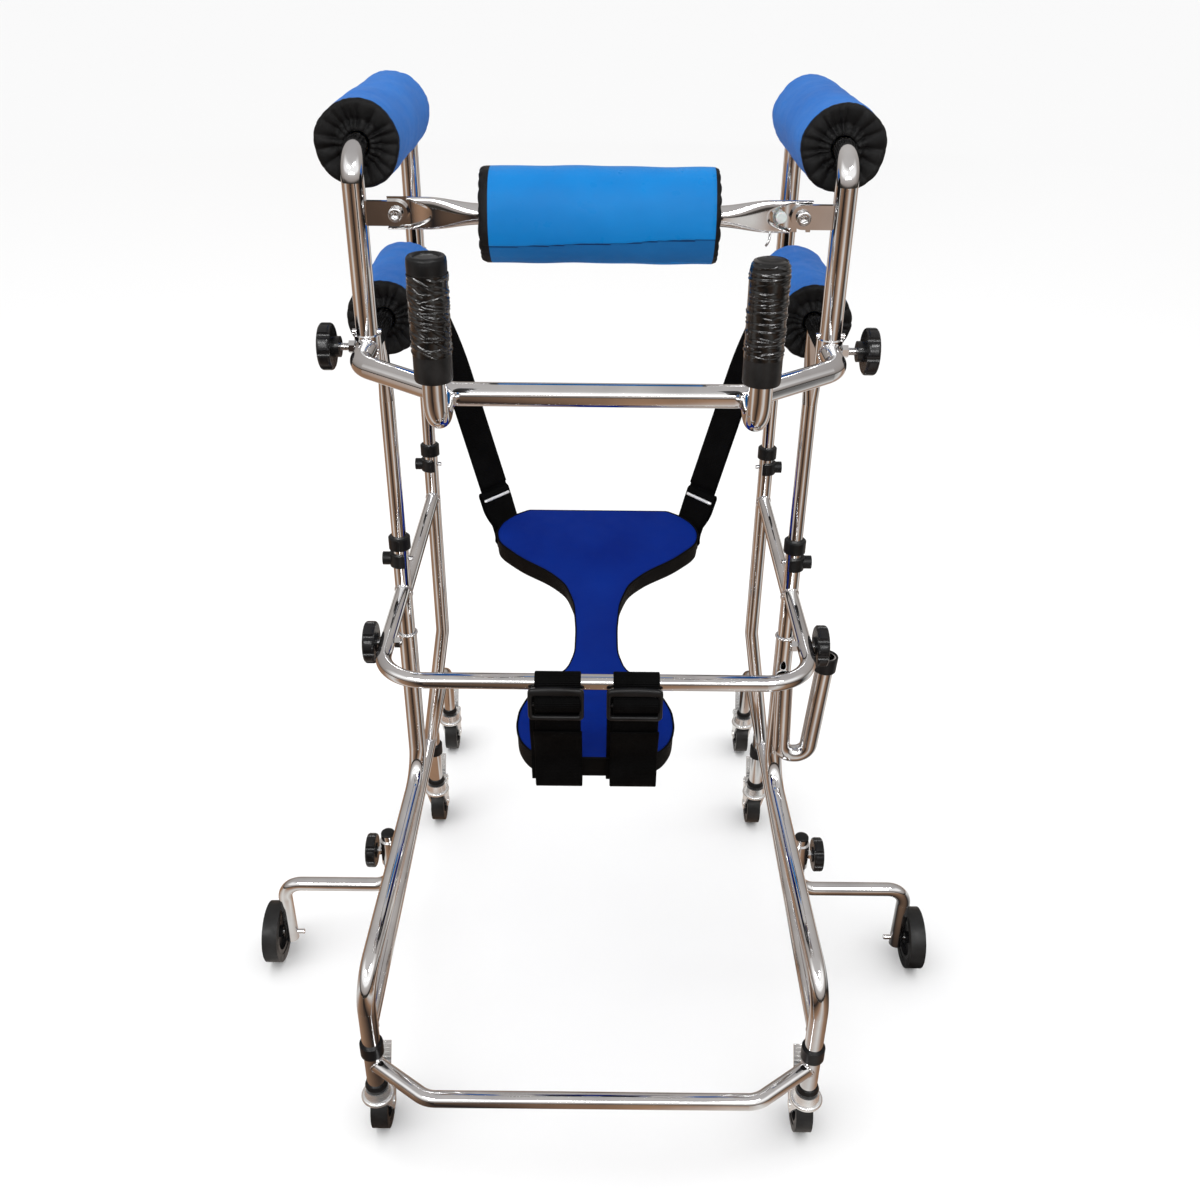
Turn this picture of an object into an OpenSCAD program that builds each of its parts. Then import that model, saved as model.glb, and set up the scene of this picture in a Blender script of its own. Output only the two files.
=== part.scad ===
// Gait trainer: a chrome tube walking frame on six braked casters, with two outriggers, a hanging seat,
// a handlebar with upright grips, forearm and armpit rolls and a swing-up chest bar.
// Millimetres. X to the user's left, Y to the rear, Z up. The origin is on the floor below the middle.

/* [Side frames] */
// Half distance between the posts of the two sides
post_x = 265; // [250:1:280]
// Half distance between the front legs, the base rails and the casters
leg_x = 302; // [295:1:320]
// Place of the near posts, negative to the front
near_post_y = -118; // [-130:1:-108]
// Place of the far posts
far_post_y = 195; // [190:1:210]
// Place of the front legs
front_leg_y = -440; // [-460:1:-420]
// Height of the base rails
rail_z = 220; // [210:1:235]
// Height where the near post bends forwards
post_bend_z = 410; // [400:1:430]
// Height where the sloping tube turns down into the front leg
leg_bend_z = 300; // [295:1:315]
// Height where the far post starts to flare outwards
far_bend_z = 460; // [430:1:490]
// Height of the side braces
brace_z = 712; // [700:1:730]
// Top of the thick leg tube, where the post tube is welded in
leg_top_z = 651; // [640:1:665]
// Top of the outer post tubes
outer_top_z = 800; // [790:1:820]
// Place of the middle casters
mid_caster_y = 225; // [222:1:250]

/* [Tubes] */
// Outer diameter of the inner posts
inner_tube_d = 19; // [18:0.5:20]
// Wall of every tube
tube_wall = 1.5; // [1.2:0.1:2]
// Radial clearance of a tube that slides in another
slide_fit = 0.05; // [0.03:0.01:0.08]
// Outer diameter of the base rails and the bottom bar
rail_tube_d = 22; // [20:0.5:24]
// Outer diameter of the side braces
brace_tube_d = 20; // [18:0.5:21]
// Outer diameter of the handlebar
handle_tube_d = 25; // [23:0.5:26]
// Outer diameter of the upright handles
grip_tube_d = 24; // [22:0.5:24]
// Outer diameter of the armpit arches
armpit_tube_d = 25; // [23:0.5:26]
// Bend radius of the legs, at the tube's centre line
leg_bend_r = 60; // [50:1:65]
// Gap that the welds fill
weld_gap = 0.1; // [0.05:0.05:0.2]
// Thinning of a tube in its bends
bend_thinning = 0.03; // [0.02:0.01:0.05]
// Length by which a straight stretch reaches into the bend after it
bend_overlap = 0.4; // [0.3:0.1:0.5]

/* [Front bars] */
// Height of the bottom bar
bottom_bar_z = 152; // [148:1:160]
// Place of the bottom bar's straight stretch
bottom_bar_y = -498; // [-510:1:-490]
// Half length of the bottom bar's straight stretch
bottom_bar_half = 222; // [200:1:240]
// Bend radius of the bottom bar
bottom_bend_r = 40; // [30:1:50]
// Height of the seat bar
seat_bar_z = 722; // [710:1:735]
// Place of the seat bar's cross stretch
seat_bar_y = -340; // [-350:1:-330]
// Outer diameter of the seat bar
seat_tube_d = 20; // [19:0.5:22]
// Bend radius of the seat bar
seat_bend_r = 58; // [45:1:65]

/* [Height adjustment] */
// Height of the locking pins
pin_z = 769; // [764:1:772]
// Diameter of the locking pins
pin_d = 6; // [5:0.5:7]
// Travel of the upper frame
lift_travel = 100; // [80:1:110]
// Wall of the plastic collars
collar_wall = 3.5; // [3:0.1:4.5]
// Height of the plain collars
collar_h = 18; // [14:1:20]
// Height of the pin clips
clip_h = 18; // [14:1:19]

/* [Handlebar] */
// Height of the handlebar
handle_z = 1090; // [1080:1:1110]
// Place of the handlebar's cross stretch
handle_y = -349; // [-360:1:-335]
// Half length of the handlebar's cross stretch
handle_half = 156; // [145:1:165]
// Place where the slanting stretch meets the side arm
handle_corner_y = -262; // [-272:1:-255]
// Bend radius of the handlebar
handle_bend_r = 40; // [35:1:42]
// Half distance between the two upright handles
grip_x = 160; // [150:1:170]
// Reach of the handles in front of the cross stretch
grip_reach = 65; // [60:1:75]
// Drop of the handle's lower bend under the handlebar
grip_drop = 20; // [15:1:25]
// Rise of the grips' tops over the handlebar
grip_rise = 160; // [150:1:170]
// Length of the foam grips
grip_length = 122; // [110:1:126]
// Diameter of the foam grips
grip_d = 39; // [36:1:42]
// Bend radius of the handles
grip_bend_r = 30; // [26:1:34]

/* [Armpit supports] */
// Place of the near armpit legs
armpit_y = -200; // [-206:1:-192]
// Rise of the armpit rolls over the handlebar
armpit_rise = 214; // [205:1:240]
// Bend radius of the armpit arches behind the roll
armpit_bend_r = 50; // [40:1:55]
// Bend radius of the armpit arches before the roll
armpit_front_r = 32; // [28:1:40]
// Wall of the armpit sleeves
sleeve_wall = 2.5; // [2:0.1:3]
// Height of the sleeves
sleeve_h = 40; // [36:1:44]
// Length of armpit leg inside its sleeve
leg_in_sleeve = 37; // [32:1:37]
// Travel of the armpit supports
armpit_travel = 25; // [15:1:28]
// Diameter of the stop bolts
stop_bolt_d = 6; // [5:0.5:7]

/* [Chest bar] */
// Rise of the chest bar over the handlebar
chest_rise = 150; // [140:1:154]
// Outer diameter of the chest bar
chest_tube_d = 22; // [20:0.5:24]
// Half distance between the chest bar's bolts
chest_bolt_x = 221; // [216:1:222]
// Diameter of the chest bar's bolts
chest_bolt_d = 8; // [7:0.5:9]
// Height of the tabs that carry the chest bar
tab_h = 26; // [24:1:28]
// Thickness of those tabs
tab_t = 7; // [6:0.5:8]
// Swing of the chest bar that its left end leaves room for, degrees
chest_swing = 55; // [40:1:60]

/* [Rolls] */
// Diameter of the armpit rolls
armpit_roll_d = 94; // [86:1:98]
// Length of the armpit rolls
armpit_roll_length = 267; // [250:1:270]
// Diameter of the forearm rolls
arm_roll_d = 93; // [86:1:96]
// Length of the forearm rolls
arm_roll_length = 214; // [200:1:216]
// Diameter of the chest roll
chest_roll_d = 100; // [92:1:104]
// Length of the chest roll
chest_roll_length = 266; // [250:1:270]
// Depth of the gathers in the ends of the rolls
pleat_depth = 2.5; // [1.5:0.1:3.5]
// Gap between a roll and its tube
soft_gap = 0.5; // [0.3:0.1:0.7]

/* [Casters] */
// Diameter of the caster wheels
wheel_d = 75; // [70:1:76]
// Width of the caster wheels
wheel_w = 24; // [22:1:26]
// Height of a caster under its bush
caster_h = 100; // [98:1:106]
// Offset of the wheel behind the swivel axis
trail = 24; // [22:1:26]
// Diameter of the swivel housing
housing_d = 46; // [42:1:48]
// Height of the swivel housing
housing_h = 20; // [18:1:21]
// Diameter of the caster stem
stem_d = 11; // [10:0.5:12]
// Diameter of the wheel axles
axle_d = 8; // [7:0.5:9]
// Radial clearance of turning fits
turn_fit = 0.05; // [0.03:0.01:0.08]
// Thickness of the fork's cheeks
cheek_t = 3; // [2.5:0.1:3.5]
// Length of the brake pedal
pedal_length = 46; // [40:1:48]
// Width of the brake pedal
pedal_w = 25; // [22:1:26]
// Rest angle of the brake pedal above level, degrees
pedal_tilt = 58; // [54:1:64]

/* [Outriggers] */
// Place of the outriggers
outrigger_y = -105; // [-112:1:-100]
// Outer diameter of the outrigger tube
outrigger_tube_d = 22; // [20:0.5:23]
// Height of the outrigger's level stretch
outrigger_z = 158; // [154:1:162]
// Half distance between the outriggers' downward ends
outrigger_x = 506; // [490:1:520]
// Bend radius of the outrigger
outrigger_bend_r = 30; // [26:1:33]
// Diameter of the outrigger wheels
outrigger_wheel_d = 100; // [96:1:104]
// Width of the outrigger wheels
outrigger_wheel_w = 24; // [20:1:28]
// Height of the bracket sleeve
bracket_h = 46; // [40:1:50]

/* [Knobs] */
// Diameter of the star knobs
knob_d = 54; // [48:1:56]
// Thickness of the star knobs
knob_t = 15; // [12:1:18]
// Diameter of the knob bolts
knob_bolt_d = 8; // [7:0.5:9]
// Bare length of bolt between a nut and its knob
knob_stand_off = 10; // [6:1:14]
// Gap under a knob that sits close to its seat
knob_gap = 1; // [0.5:0.1:2]
// Thickness of the nuts
nut_t = 7; // [6:0.5:8]
// Width of the nuts across their corners
nut_d = 15; // [14:0.5:16]

/* [Drip stand holder] */
// Outer diameter of the holder tube
holder_tube_d = 25; // [24:0.5:26]
// Place of the holder's open leg at its bottom, from the middle
holder_x = 309; // [306:1:314]
// Height of the holder's open mouth
holder_top_z = 634; // [620:1:650]
// Height of the holder's lowest stretch
holder_bottom_z = 464; // [455:1:475]
// Lean of the open leg, degrees
holder_lean = 4; // [2:0.5:6]
// Bend radius of the holder
holder_bend_r = 19; // [18:0.5:20]
// Height of the plastic ring at the mouth
ring_h = 24; // [20:1:28]

/* [Seat] */
// Half width of the seat's rear lobe
seat_half = 150; // [140:1:156]
// Place of the seat's rear edge
seat_rear_y = 70; // [60:1:76]
// Height of the seat's middle at its rear edge
seat_rear_z = 736; // [730:1:745]
// Place of the seat's front edge
seat_front_y = -320; // [-322:1:-314]
// Height of the seat's middle at its front edge
seat_front_z = 571; // [565:1:580]
// Thickness of the seat pad
seat_t = 36; // [32:1:40]
// Rise of the crown over the seat's flat faces
seat_crown = 4; // [2:0.5:6]
// Width of the front straps
front_strap_w = 67; // [60:1:70]
// Half distance between the front straps
front_strap_x = 47.5; // [45:0.5:50]
// Width of the rear straps
rear_strap_w = 50; // [40:1:50]
// Thickness of the straps
strap_t = 2.5; // [2:0.1:3]
// Gap between a strap and the tube it goes round
strap_gap = 0.4; // [0.3:0.1:0.6]

/* [Hidden] */
$fn = 48;

// Sides of the part, as seen from the front: the left one has negative X
LEFT = -1;
RIGHT = 1;
SIDES = [LEFT, RIGHT];

// Extra length of every cut, so that it passes the face it opens
overrun = 2;

// Finishes
CHROME = "silver";
ZINC = "lightsteelblue";
BLACK = "#1c1c1e";
SKY = "#3d86d8";
ROYAL = "#0e2f9e";

// Telescoping tubes: each takes the next smaller one
post_tube_d = inner_tube_d + 2 * slide_fit + 2 * tube_wall;
leg_tube_d = post_tube_d + 2 * tube_wall;
inner_bore_d = inner_tube_d - 2 * tube_wall;
post_bore_d = inner_tube_d + 2 * slide_fit;
// Depth of the post tube inside the leg tube
post_seat_depth = 40;
inner_bottom_margin = 12;
inner_bottom_z = pin_z - lift_travel - pin_d / 2 - inner_bottom_margin;

// Bushes of the casters, in the lower ends of the legs and stems
swivel_gap = 0.5;
bush_flange_h = 12;
bush_flange_wall = 3.5;
bush_depth = 26;
caster_top_z = caster_h + swivel_gap + bush_flange_h;
leg_ring_z = 182;
leg_ring_h = 20;
rail_bend_r = 45;
rear_caster_y = rail_tube_d / 2 - bottom_bar_y - trail - wheel_d / 2;

// Heights over the handlebar
grip_top_z = handle_z + grip_rise;
armpit_z = handle_z + armpit_rise;
chest_z = handle_z + chest_rise;

// Sleeves of the armpit arches
sleeve_bore_d = armpit_tube_d + 2 * slide_fit;
sleeve_d = sleeve_bore_d + 2 * sleeve_wall;
sleeve_top_z = handle_z + handle_tube_d / 2 + sleeve_wall;
sleeve_bottom_z = sleeve_top_z - sleeve_h;
armpit_leg_z = sleeve_top_z - leg_in_sleeve;
sleeve_socket_h = 20;
stop_gap = 0.3;
stop_bolt_reach = 4;

// Knob bolts in their nuts and sleeves
bolt_fit = 0.08;
// Gap around metal that is moulded into plastic
mould_gap = 0.02;
tip_gap = 0.4;

function unit(v) = v / norm(v);

// Radius of the bend at corner i: one for the whole path, or a list with one for each point
function radius_at(r, i) = is_list(r) ? r[i] : r;

// Set-back of a bend's ends from its corner
function set_back(points, i, r) =
    i == 0 || i == len(points) - 1 ? 0
    : radius_at(r, i) * tan(acos(unit(points[i] - points[i - 1]) * unit(points[i + 1] - points[i])) / 2);

// Points where the straight stretch before or after corner i ends
function before_bend(points, i, r) = points[i] - unit(points[i] - points[i - 1]) * set_back(points, i, r);
function after_bend(points, i, r) = points[i] + unit(points[i + 1] - points[i]) * set_back(points, i, r);

// A path made longer at both ends
function stretched(points, by) =
    let (last = len(points) - 1)
    [for (i = [0 : last])
        i == 0 ? points[0] - unit(points[1] - points[0]) * by
        : i == last ? points[last] + unit(points[last] - points[last - 1]) * by
        : points[i]];

// A path on the given side of the middle
function sided(side, points) = [for (p = points) [side * p.x, p.y, p.z]];

// Carries the local axes e, d and n to place c
module at_axes(c, e, d, n) {
    multmatrix([
        [e.x, d.x, n.x, c.x],
        [e.y, d.y, n.y, c.y],
        [e.z, d.z, n.z, c.z],
        [0, 0, 0, 1]
    ])
        children();
}

module rod(a, b, d) {
    v = b - a;
    translate(a)
        rotate([0, acos(v.z / norm(v)), atan2(v.y, v.x)])
            cylinder(d = d, h = norm(v));
}

// A bar along X, centred on its place
module x_bar(c, d, length) {
    translate(c)
        rotate([0, 90, 0])
            cylinder(d = d, h = length, center = true);
}

// A bar along Y, centred on its place
module y_bar(c, d, length) {
    translate(c)
        rotate([90, 0, 0])
            cylinder(d = d, h = length, center = true);
}

module elbow(a, p, b, r, d) {
    along = unit(p - a);
    next = unit(b - p);
    angle = acos(along * next);
    inwards = unit(next - along * (along * next));
    start = p - along * (r * tan(angle / 2));
    at_axes(start + inwards * r, -inwards, along, cross(-inwards, along))
        rotate_extrude(angle = angle)
            translate([r, 0])
                circle(d = d);
}

// A solid bar that follows a path with round bends
module bent_bar(points, r, d) {
    last = len(points) - 1;
    for (i = [1 : last]) {
        along = unit(points[i] - points[i - 1]);
        before = i == 1 ? 0 : bend_overlap;
        after = i == last ? 0 : bend_overlap;
        rod(after_bend(points, i - 1, r) - along * before, before_bend(points, i, r) + along * after, d);
    }
    for (i = [1 : last - 1])
        elbow(points[i - 1], points[i], points[i + 1], radius_at(r, i), d - bend_thinning);
}

// A tube that follows a path, open at both ends
module bent_tube(points, r, d) {
    difference() {
        bent_bar(points, r, d);
        bent_bar(stretched(points, overrun), r, d - 2 * tube_wall);
    }
}

module straight_tube(a, b, d) {
    difference() {
        rod(a, b, d);
        rod(a - unit(b - a) * overrun, b + unit(b - a) * overrun, d - 2 * tube_wall);
    }
}

// The outside of a tube with its weld gap, to shape the end of a tube that meets it
module saddle(a, b, d) {
    rod(a - unit(b - a) * overrun, b + unit(b - a) * overrun, d + 2 * weld_gap);
}

// A ring around the Z axis
module ring(d_out, d_in, h) {
    difference() {
        cylinder(d = d_out, h = h);
        translate([0, 0, -overrun])
            cylinder(d = d_in, h = h + 2 * overrun);
    }
}

// A rectangle with round corners, centred on its place
module rounded_rect(w, h, r) {
    square([w - 2 * r, h], center = true);
    square([w, h - 2 * r], center = true);
    for (x = [-1, 1], y = [-1, 1])
        translate([x * (w / 2 - r), y * (h / 2 - r)])
            circle(r = r);
}

// Paths of the frame

function front_leg_path(side) = sided(side, [
    [post_x, near_post_y, leg_top_z],
    [post_x, near_post_y, post_bend_z],
    [leg_x, front_leg_y, leg_bend_z],
    [leg_x, front_leg_y, caster_top_z]
]);

function rear_leg_path(side) = sided(side, [
    [post_x, far_post_y, outer_top_z],
    [post_x, far_post_y, far_bend_z],
    [leg_x, far_post_y, rail_z + rail_tube_d / 4]
]);

function rail_path(side) = sided(side, [
    [leg_x, front_leg_y, rail_z],
    [leg_x, rear_caster_y, rail_z],
    [leg_x, rear_caster_y, caster_top_z]
]);

function stem_path(side) = sided(side, [
    [leg_x, mid_caster_y, rail_z],
    [leg_x, mid_caster_y, caster_top_z]
]);

// The post tube of the near side, from inside the leg tube to its mouth
function near_post_path(side) = sided(side, [
    [post_x, near_post_y, leg_top_z - post_seat_depth],
    [post_x, near_post_y, outer_top_z]
]);

seat_bar_path = [
    [LEFT * post_x, near_post_y, seat_bar_z],
    [LEFT * post_x, seat_bar_y, seat_bar_z],
    [RIGHT * post_x, seat_bar_y, seat_bar_z],
    [RIGHT * post_x, near_post_y, seat_bar_z]
];

bottom_bar_path = [
    [LEFT * leg_x, front_leg_y, bottom_bar_z],
    [LEFT * bottom_bar_half, bottom_bar_y, bottom_bar_z],
    [RIGHT * bottom_bar_half, bottom_bar_y, bottom_bar_z],
    [RIGHT * leg_x, front_leg_y, bottom_bar_z]
];

handlebar_path = [
    [LEFT * post_x, far_post_y, handle_z],
    [LEFT * post_x, handle_corner_y, handle_z],
    [LEFT * handle_half, handle_y, handle_z],
    [RIGHT * handle_half, handle_y, handle_z],
    [RIGHT * post_x, handle_corner_y, handle_z],
    [RIGHT * post_x, far_post_y, handle_z]
];

function handle_path(side) = sided(side, [
    [grip_x, handle_y, handle_z],
    [grip_x, handle_y - grip_reach, handle_z - grip_drop],
    [grip_x, handle_y - grip_reach, grip_top_z - grip_cap]
]);
grip_cap = 8;

armpit_radii = [0, armpit_front_r, armpit_bend_r, 0];
function armpit_path(side) = sided(side, [
    [post_x, armpit_y, armpit_leg_z],
    [post_x, armpit_y, armpit_z],
    [post_x, far_post_y, armpit_z],
    [post_x, far_post_y, armpit_leg_z]
]);

// Outriggers: the bracket is welded to the outside of the rail
bracket_bore_d = outrigger_tube_d + 2 * slide_fit;
bracket_d = bracket_bore_d + 2 * sleeve_wall;
bracket_x = leg_x + rail_tube_d / 2 + bracket_d / 2 + weld_gap;
bracket_z = rail_z + bracket_h / 2 - rail_tube_d / 2;
outrigger_stub = 12;
outrigger_foot = 14;
outrigger_axle_z = outrigger_wheel_d / 2;

function outrigger_path(side) = sided(side, [
    [bracket_x, outrigger_y, bracket_z + bracket_h / 2 + outrigger_stub],
    [bracket_x, outrigger_y, outrigger_z],
    [outrigger_x, outrigger_y, outrigger_z],
    [outrigger_x, outrigger_y, outrigger_axle_z - outrigger_foot]
]);

// Drip stand holder: a tube welded to the front of the right near post, bent up again beside it
holder_y = near_post_y - leg_tube_d / 2 - holder_tube_d / 2 - weld_gap;
holder_weld_z = leg_top_z - holder_tube_d * 2;
holder_mouth_x = holder_x + (holder_top_z - holder_bottom_z) * tan(holder_lean);
holder_path = [
    [post_x, holder_y, holder_weld_z],
    [holder_x - 2 * holder_bend_r, holder_y, holder_bottom_z],
    [holder_x, holder_y, holder_bottom_z],
    [holder_mouth_x, holder_y, holder_top_z]
];

// Base frame

module front_leg(side) {
    post = near_post_path(side);
    leg = front_leg_path(side);
    hollow = concat([post[0]], [for (i = [1 : len(leg) - 1]) leg[i]]);
    color(CHROME)
        difference() {
            union() {
                bent_bar(leg, leg_bend_r, leg_tube_d);
                rod(post[0], post[1], post_tube_d);
            }
            bent_bar(stretched(hollow, overrun), leg_bend_r, leg_tube_d - 2 * tube_wall);
            rod(post[0] - [0, 0, overrun], post[1] + [0, 0, overrun], post_bore_d);
            pin_hole(side, near_post_y);
        }
}

module rear_leg(side) {
    leg = rear_leg_path(side);
    rail = rail_path(side);
    color(CHROME)
        difference() {
            bent_bar(leg, leg_bend_r, post_tube_d);
            bent_bar(stretched(leg, overrun), leg_bend_r, post_bore_d);
            saddle(rail[0], rail[1], rail_tube_d);
            pin_hole(side, far_post_y);
        }
}

// Hole for a locking pin through both walls of a post
pin_fit = 0.25;
module pin_hole(side, y) {
    x_bar([side * post_x, y, pin_z], pin_d + 2 * pin_fit, leg_tube_d + 2 * overrun);
}

module base_rail(side) {
    rail = rail_path(side);
    stem = stem_path(side);
    leg = front_leg_path(side);
    color(CHROME)
        difference() {
            union() {
                bent_bar(rail, rail_bend_r, rail_tube_d);
                rod(stem[0], stem[1], leg_tube_d);
                bracket(side, bracket_d);
            }
            bent_bar(stretched(rail, overrun), rail_bend_r, rail_tube_d - 2 * tube_wall);
            rod(stem[0] - [0, 0, rail_tube_d / 2], stem[1] - [0, 0, overrun], leg_tube_d - 2 * tube_wall);
            saddle(leg[2], leg[3], leg_tube_d);
            bracket_bore(side);
        }
    color(ZINC)
        knob_nut([side * (bracket_x + bracket_d / 2), outrigger_y, bracket_z], side, nut_t / 2);
}

// Sleeve of the outrigger with the weld that holds it to the rail
module bracket(side, d) {
    translate([side * bracket_x, outrigger_y, bracket_z - bracket_h / 2])
        cylinder(d = d, h = bracket_h);
    x_bar([side * (leg_x + bracket_x) / 2, outrigger_y, rail_z], rail_tube_d / 2, bracket_x - leg_x);
}

module bracket_bore(side) {
    translate([side * bracket_x, outrigger_y, bracket_z - bracket_h / 2 - overrun])
        cylinder(d = bracket_bore_d, h = bracket_h + 2 * overrun);
    x_bar(
        [side * (bracket_x + bracket_d / 2), outrigger_y, bracket_z],
        knob_bolt_d + 2 * bolt_fit,
        bracket_d
    );
}

module side_braces() {
    color(CHROME)
        for (side = SIDES)
            difference() {
                straight_tube(
                    [side * post_x, near_post_y, brace_z],
                    [side * post_x, far_post_y, brace_z],
                    brace_tube_d
                );
                for (y = [near_post_y, far_post_y])
                    saddle([side * post_x, y, leg_top_z], [side * post_x, y, outer_top_z], post_tube_d);
            }
}

module front_bottom_bar() {
    color(CHROME)
        difference() {
            bent_tube(bottom_bar_path, bottom_bend_r, rail_tube_d);
            for (side = SIDES)
                saddle(
                    [side * leg_x, front_leg_y, caster_top_z],
                    [side * leg_x, front_leg_y, rail_z],
                    leg_tube_d
                );
        }
}

// Place of the seat knobs on the arms of the seat bar, as a share of the arm
seat_knob_share = 0.62;
seat_knob_y = near_post_y + (seat_bar_y - near_post_y) * seat_knob_share;

module seat_bar() {
    color(CHROME)
        difference() {
            bent_tube(seat_bar_path, seat_bend_r, seat_tube_d);
            for (side = SIDES) {
                saddle(
                    [side * post_x, near_post_y, leg_top_z],
                    [side * post_x, near_post_y, outer_top_z],
                    post_tube_d
                );
                x_bar(
                    [side * post_x, seat_knob_y, seat_bar_z],
                    knob_bolt_d + 2 * bolt_fit,
                    seat_tube_d + 2 * overrun
                );
            }
        }
    color(ZINC)
        for (side = SIDES)
            knob_nut([side * (post_x - seat_tube_d / 2), seat_knob_y, seat_bar_z], -side, nut_t);
}

module drip_stand_holder() {
    color(CHROME)
        bent_tube(holder_path, holder_bend_r, holder_tube_d);
}

// Plastic pieces that are pushed onto the tubes
module plastic_collars() {
    color(BLACK) {
        for (side = SIDES) {
            for (y = [near_post_y, far_post_y])
                translate([side * post_x, y, outer_top_z])
                    mouth_collar();
            for (y = [front_leg_y, mid_caster_y])
                translate([side * leg_x, y, leg_ring_z - leg_ring_h / 2])
                    ring(leg_tube_d + 2 * collar_wall, leg_tube_d + 2 * slide_fit, leg_ring_h);
            translate([side * leg_x, front_leg_y, 0])
                caster_bush(leg_tube_d);
            translate([side * leg_x, mid_caster_y, 0])
                caster_bush(leg_tube_d);
            translate([side * leg_x, rear_caster_y, 0])
                caster_bush(rail_tube_d);
        }
        holder_ring();
    }
}

// Collar over the mouth of an outer post, with a lip that guides the inner post
module mouth_collar() {
    lip = collar_wall;
    rotate_extrude()
        polygon([
            [post_tube_d / 2 + slide_fit, lip - collar_h],
            [post_tube_d / 2 + collar_wall, lip - collar_h],
            [post_tube_d / 2 + collar_wall, lip / 2],
            [post_tube_d / 2 + collar_wall / 2, lip],
            [post_bore_d / 2 + slide_fit, lip],
            [post_bore_d / 2 + slide_fit, slide_fit],
            [post_tube_d / 2 + slide_fit, slide_fit]
        ]);
}

// Bush in the lower end of a tube, with a flange under the tube and a bore for the caster's stem
module caster_bush(tube_d) {
    translate([0, 0, caster_top_z])
        rotate_extrude()
            polygon([
                [stem_d / 2 + turn_fit, -bush_flange_h],
                [tube_d / 2 + bush_flange_wall / 2, -bush_flange_h],
                [tube_d / 2 + bush_flange_wall, -bush_flange_h / 2],
                [tube_d / 2 + bush_flange_wall / 2, 0],
                [tube_d / 2 - tube_wall - slide_fit, 0],
                [tube_d / 2 - tube_wall - slide_fit, bush_depth],
                [stem_d / 2 + turn_fit, bush_depth]
            ]);
}

module holder_ring() {
    edge = 1.5;
    translate([holder_mouth_x, holder_y, holder_top_z])
        rotate([0, holder_lean, 0])
            rotate_extrude()
                translate([holder_tube_d / 2 + slide_fit + collar_wall / 2, edge - ring_h / 2])
                    rounded_rect(collar_wall, ring_h, edge);
}

// Locking clip of a post: a saddle with straight arms, a pull tab and the pin
clip_gap = 0.3;
clip_arm = 7;
clip_tab = 9;
pin_tip = 5;

module pin_clip(side, y) {
    half = post_tube_d / 2 + clip_gap;
    color(BLACK)
        translate([side * post_x, y, pin_z])
            difference() {
                union() {
                    translate([0, 0, -clip_h / 2])
                        cylinder(r = half + collar_wall, h = clip_h);
                    x_bar(
                        [side * (half + collar_wall + clip_tab) / 2, 0, 0],
                        clip_h,
                        half + collar_wall + clip_tab
                    );
                }
                translate([0, 0, -clip_h / 2 - overrun])
                    cylinder(r = half, h = clip_h + 2 * overrun);
                translate([side * -(clip_arm + half), 0, 0])
                    cube([2 * half, 3 * half, clip_h + 2 * overrun], center = true);
                translate([side * -half, 0, 0])
                    cube([2 * half, 2 * half, clip_h + 2 * overrun], center = true);
                x_bar([0, 0, 0], pin_d + 2 * mould_gap, 3 * half);
            }
    color(ZINC)
        rod(
            [side * (post_x + half + collar_wall), y, pin_z],
            [side * (post_x - post_tube_d / 2 - pin_tip), y, pin_z],
            pin_d
        );
}

// Upper frame

module handlebar() {
    color(CHROME) {
        difference() {
            union() {
                bent_bar(handlebar_path, handle_bend_r, handle_tube_d);
                for (side = SIDES)
                    bent_bar(handle_path(side), grip_bend_r, grip_tube_d);
            }
            bent_bar(stretched(handlebar_path, overrun), handle_bend_r, handle_tube_d - 2 * tube_wall);
            for (side = SIDES) {
                bent_bar(stretched(handle_path(side), overrun), grip_bend_r, grip_tube_d - 2 * tube_wall);
                for (y = [armpit_y, far_post_y])
                    saddle([side * post_x, y, sleeve_bottom_z], [side * post_x, y, sleeve_top_z], sleeve_d);
            }
        }
    }
}

// Inner posts: slotted where the locking pins cross them, pressed flat under the handlebar on the near side
flat_h = 70;
flat_t_share = 0.45;
flat_w_share = 1.35;

module inner_posts() {
    color(CHROME)
        for (side = SIDES) {
            near_inner_post(side);
            far_inner_post(side);
        }
}

module near_inner_post(side) {
    top = handle_z - handle_tube_d;
    difference() {
        union() {
            rod(
                [side * post_x, near_post_y, inner_bottom_z],
                [side * post_x, near_post_y, top - flat_h],
                inner_tube_d
            );
            translate([side * post_x, near_post_y, top - flat_h])
                flat_end(side);
        }
        rod(
            [side * post_x, near_post_y, inner_bottom_z - overrun],
            [side * post_x, near_post_y, top - flat_h],
            inner_bore_d
        );
        saddle([side * post_x, armpit_y, handle_z], [side * post_x, far_post_y, handle_z], handle_tube_d);
        pin_slot(side, near_post_y);
    }
}

// The pressed end: round at its foot, a flat blade at the handlebar
module flat_end(side) {
    wide = inner_tube_d * flat_w_share;
    thin = inner_tube_d * flat_t_share;
    blade_turn = side == LEFT ? 0 : 90;
    blade_h = handle_tube_d;
    hull() {
        cylinder(d = inner_tube_d, h = weld_gap, $fn = 32);
        translate([0, 0, flat_h])
            rotate([0, 0, blade_turn])
                linear_extrude(blade_h)
                    rounded_rect(thin, wide, thin / 3, $fn = 24);
    }
}

module far_inner_post(side) {
    top = sleeve_bottom_z - sleeve_socket_h / 4;
    difference() {
        straight_tube(
            [side * post_x, far_post_y, inner_bottom_z],
            [side * post_x, far_post_y, top],
            inner_tube_d
        );
        pin_slot(side, far_post_y);
    }
}

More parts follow.
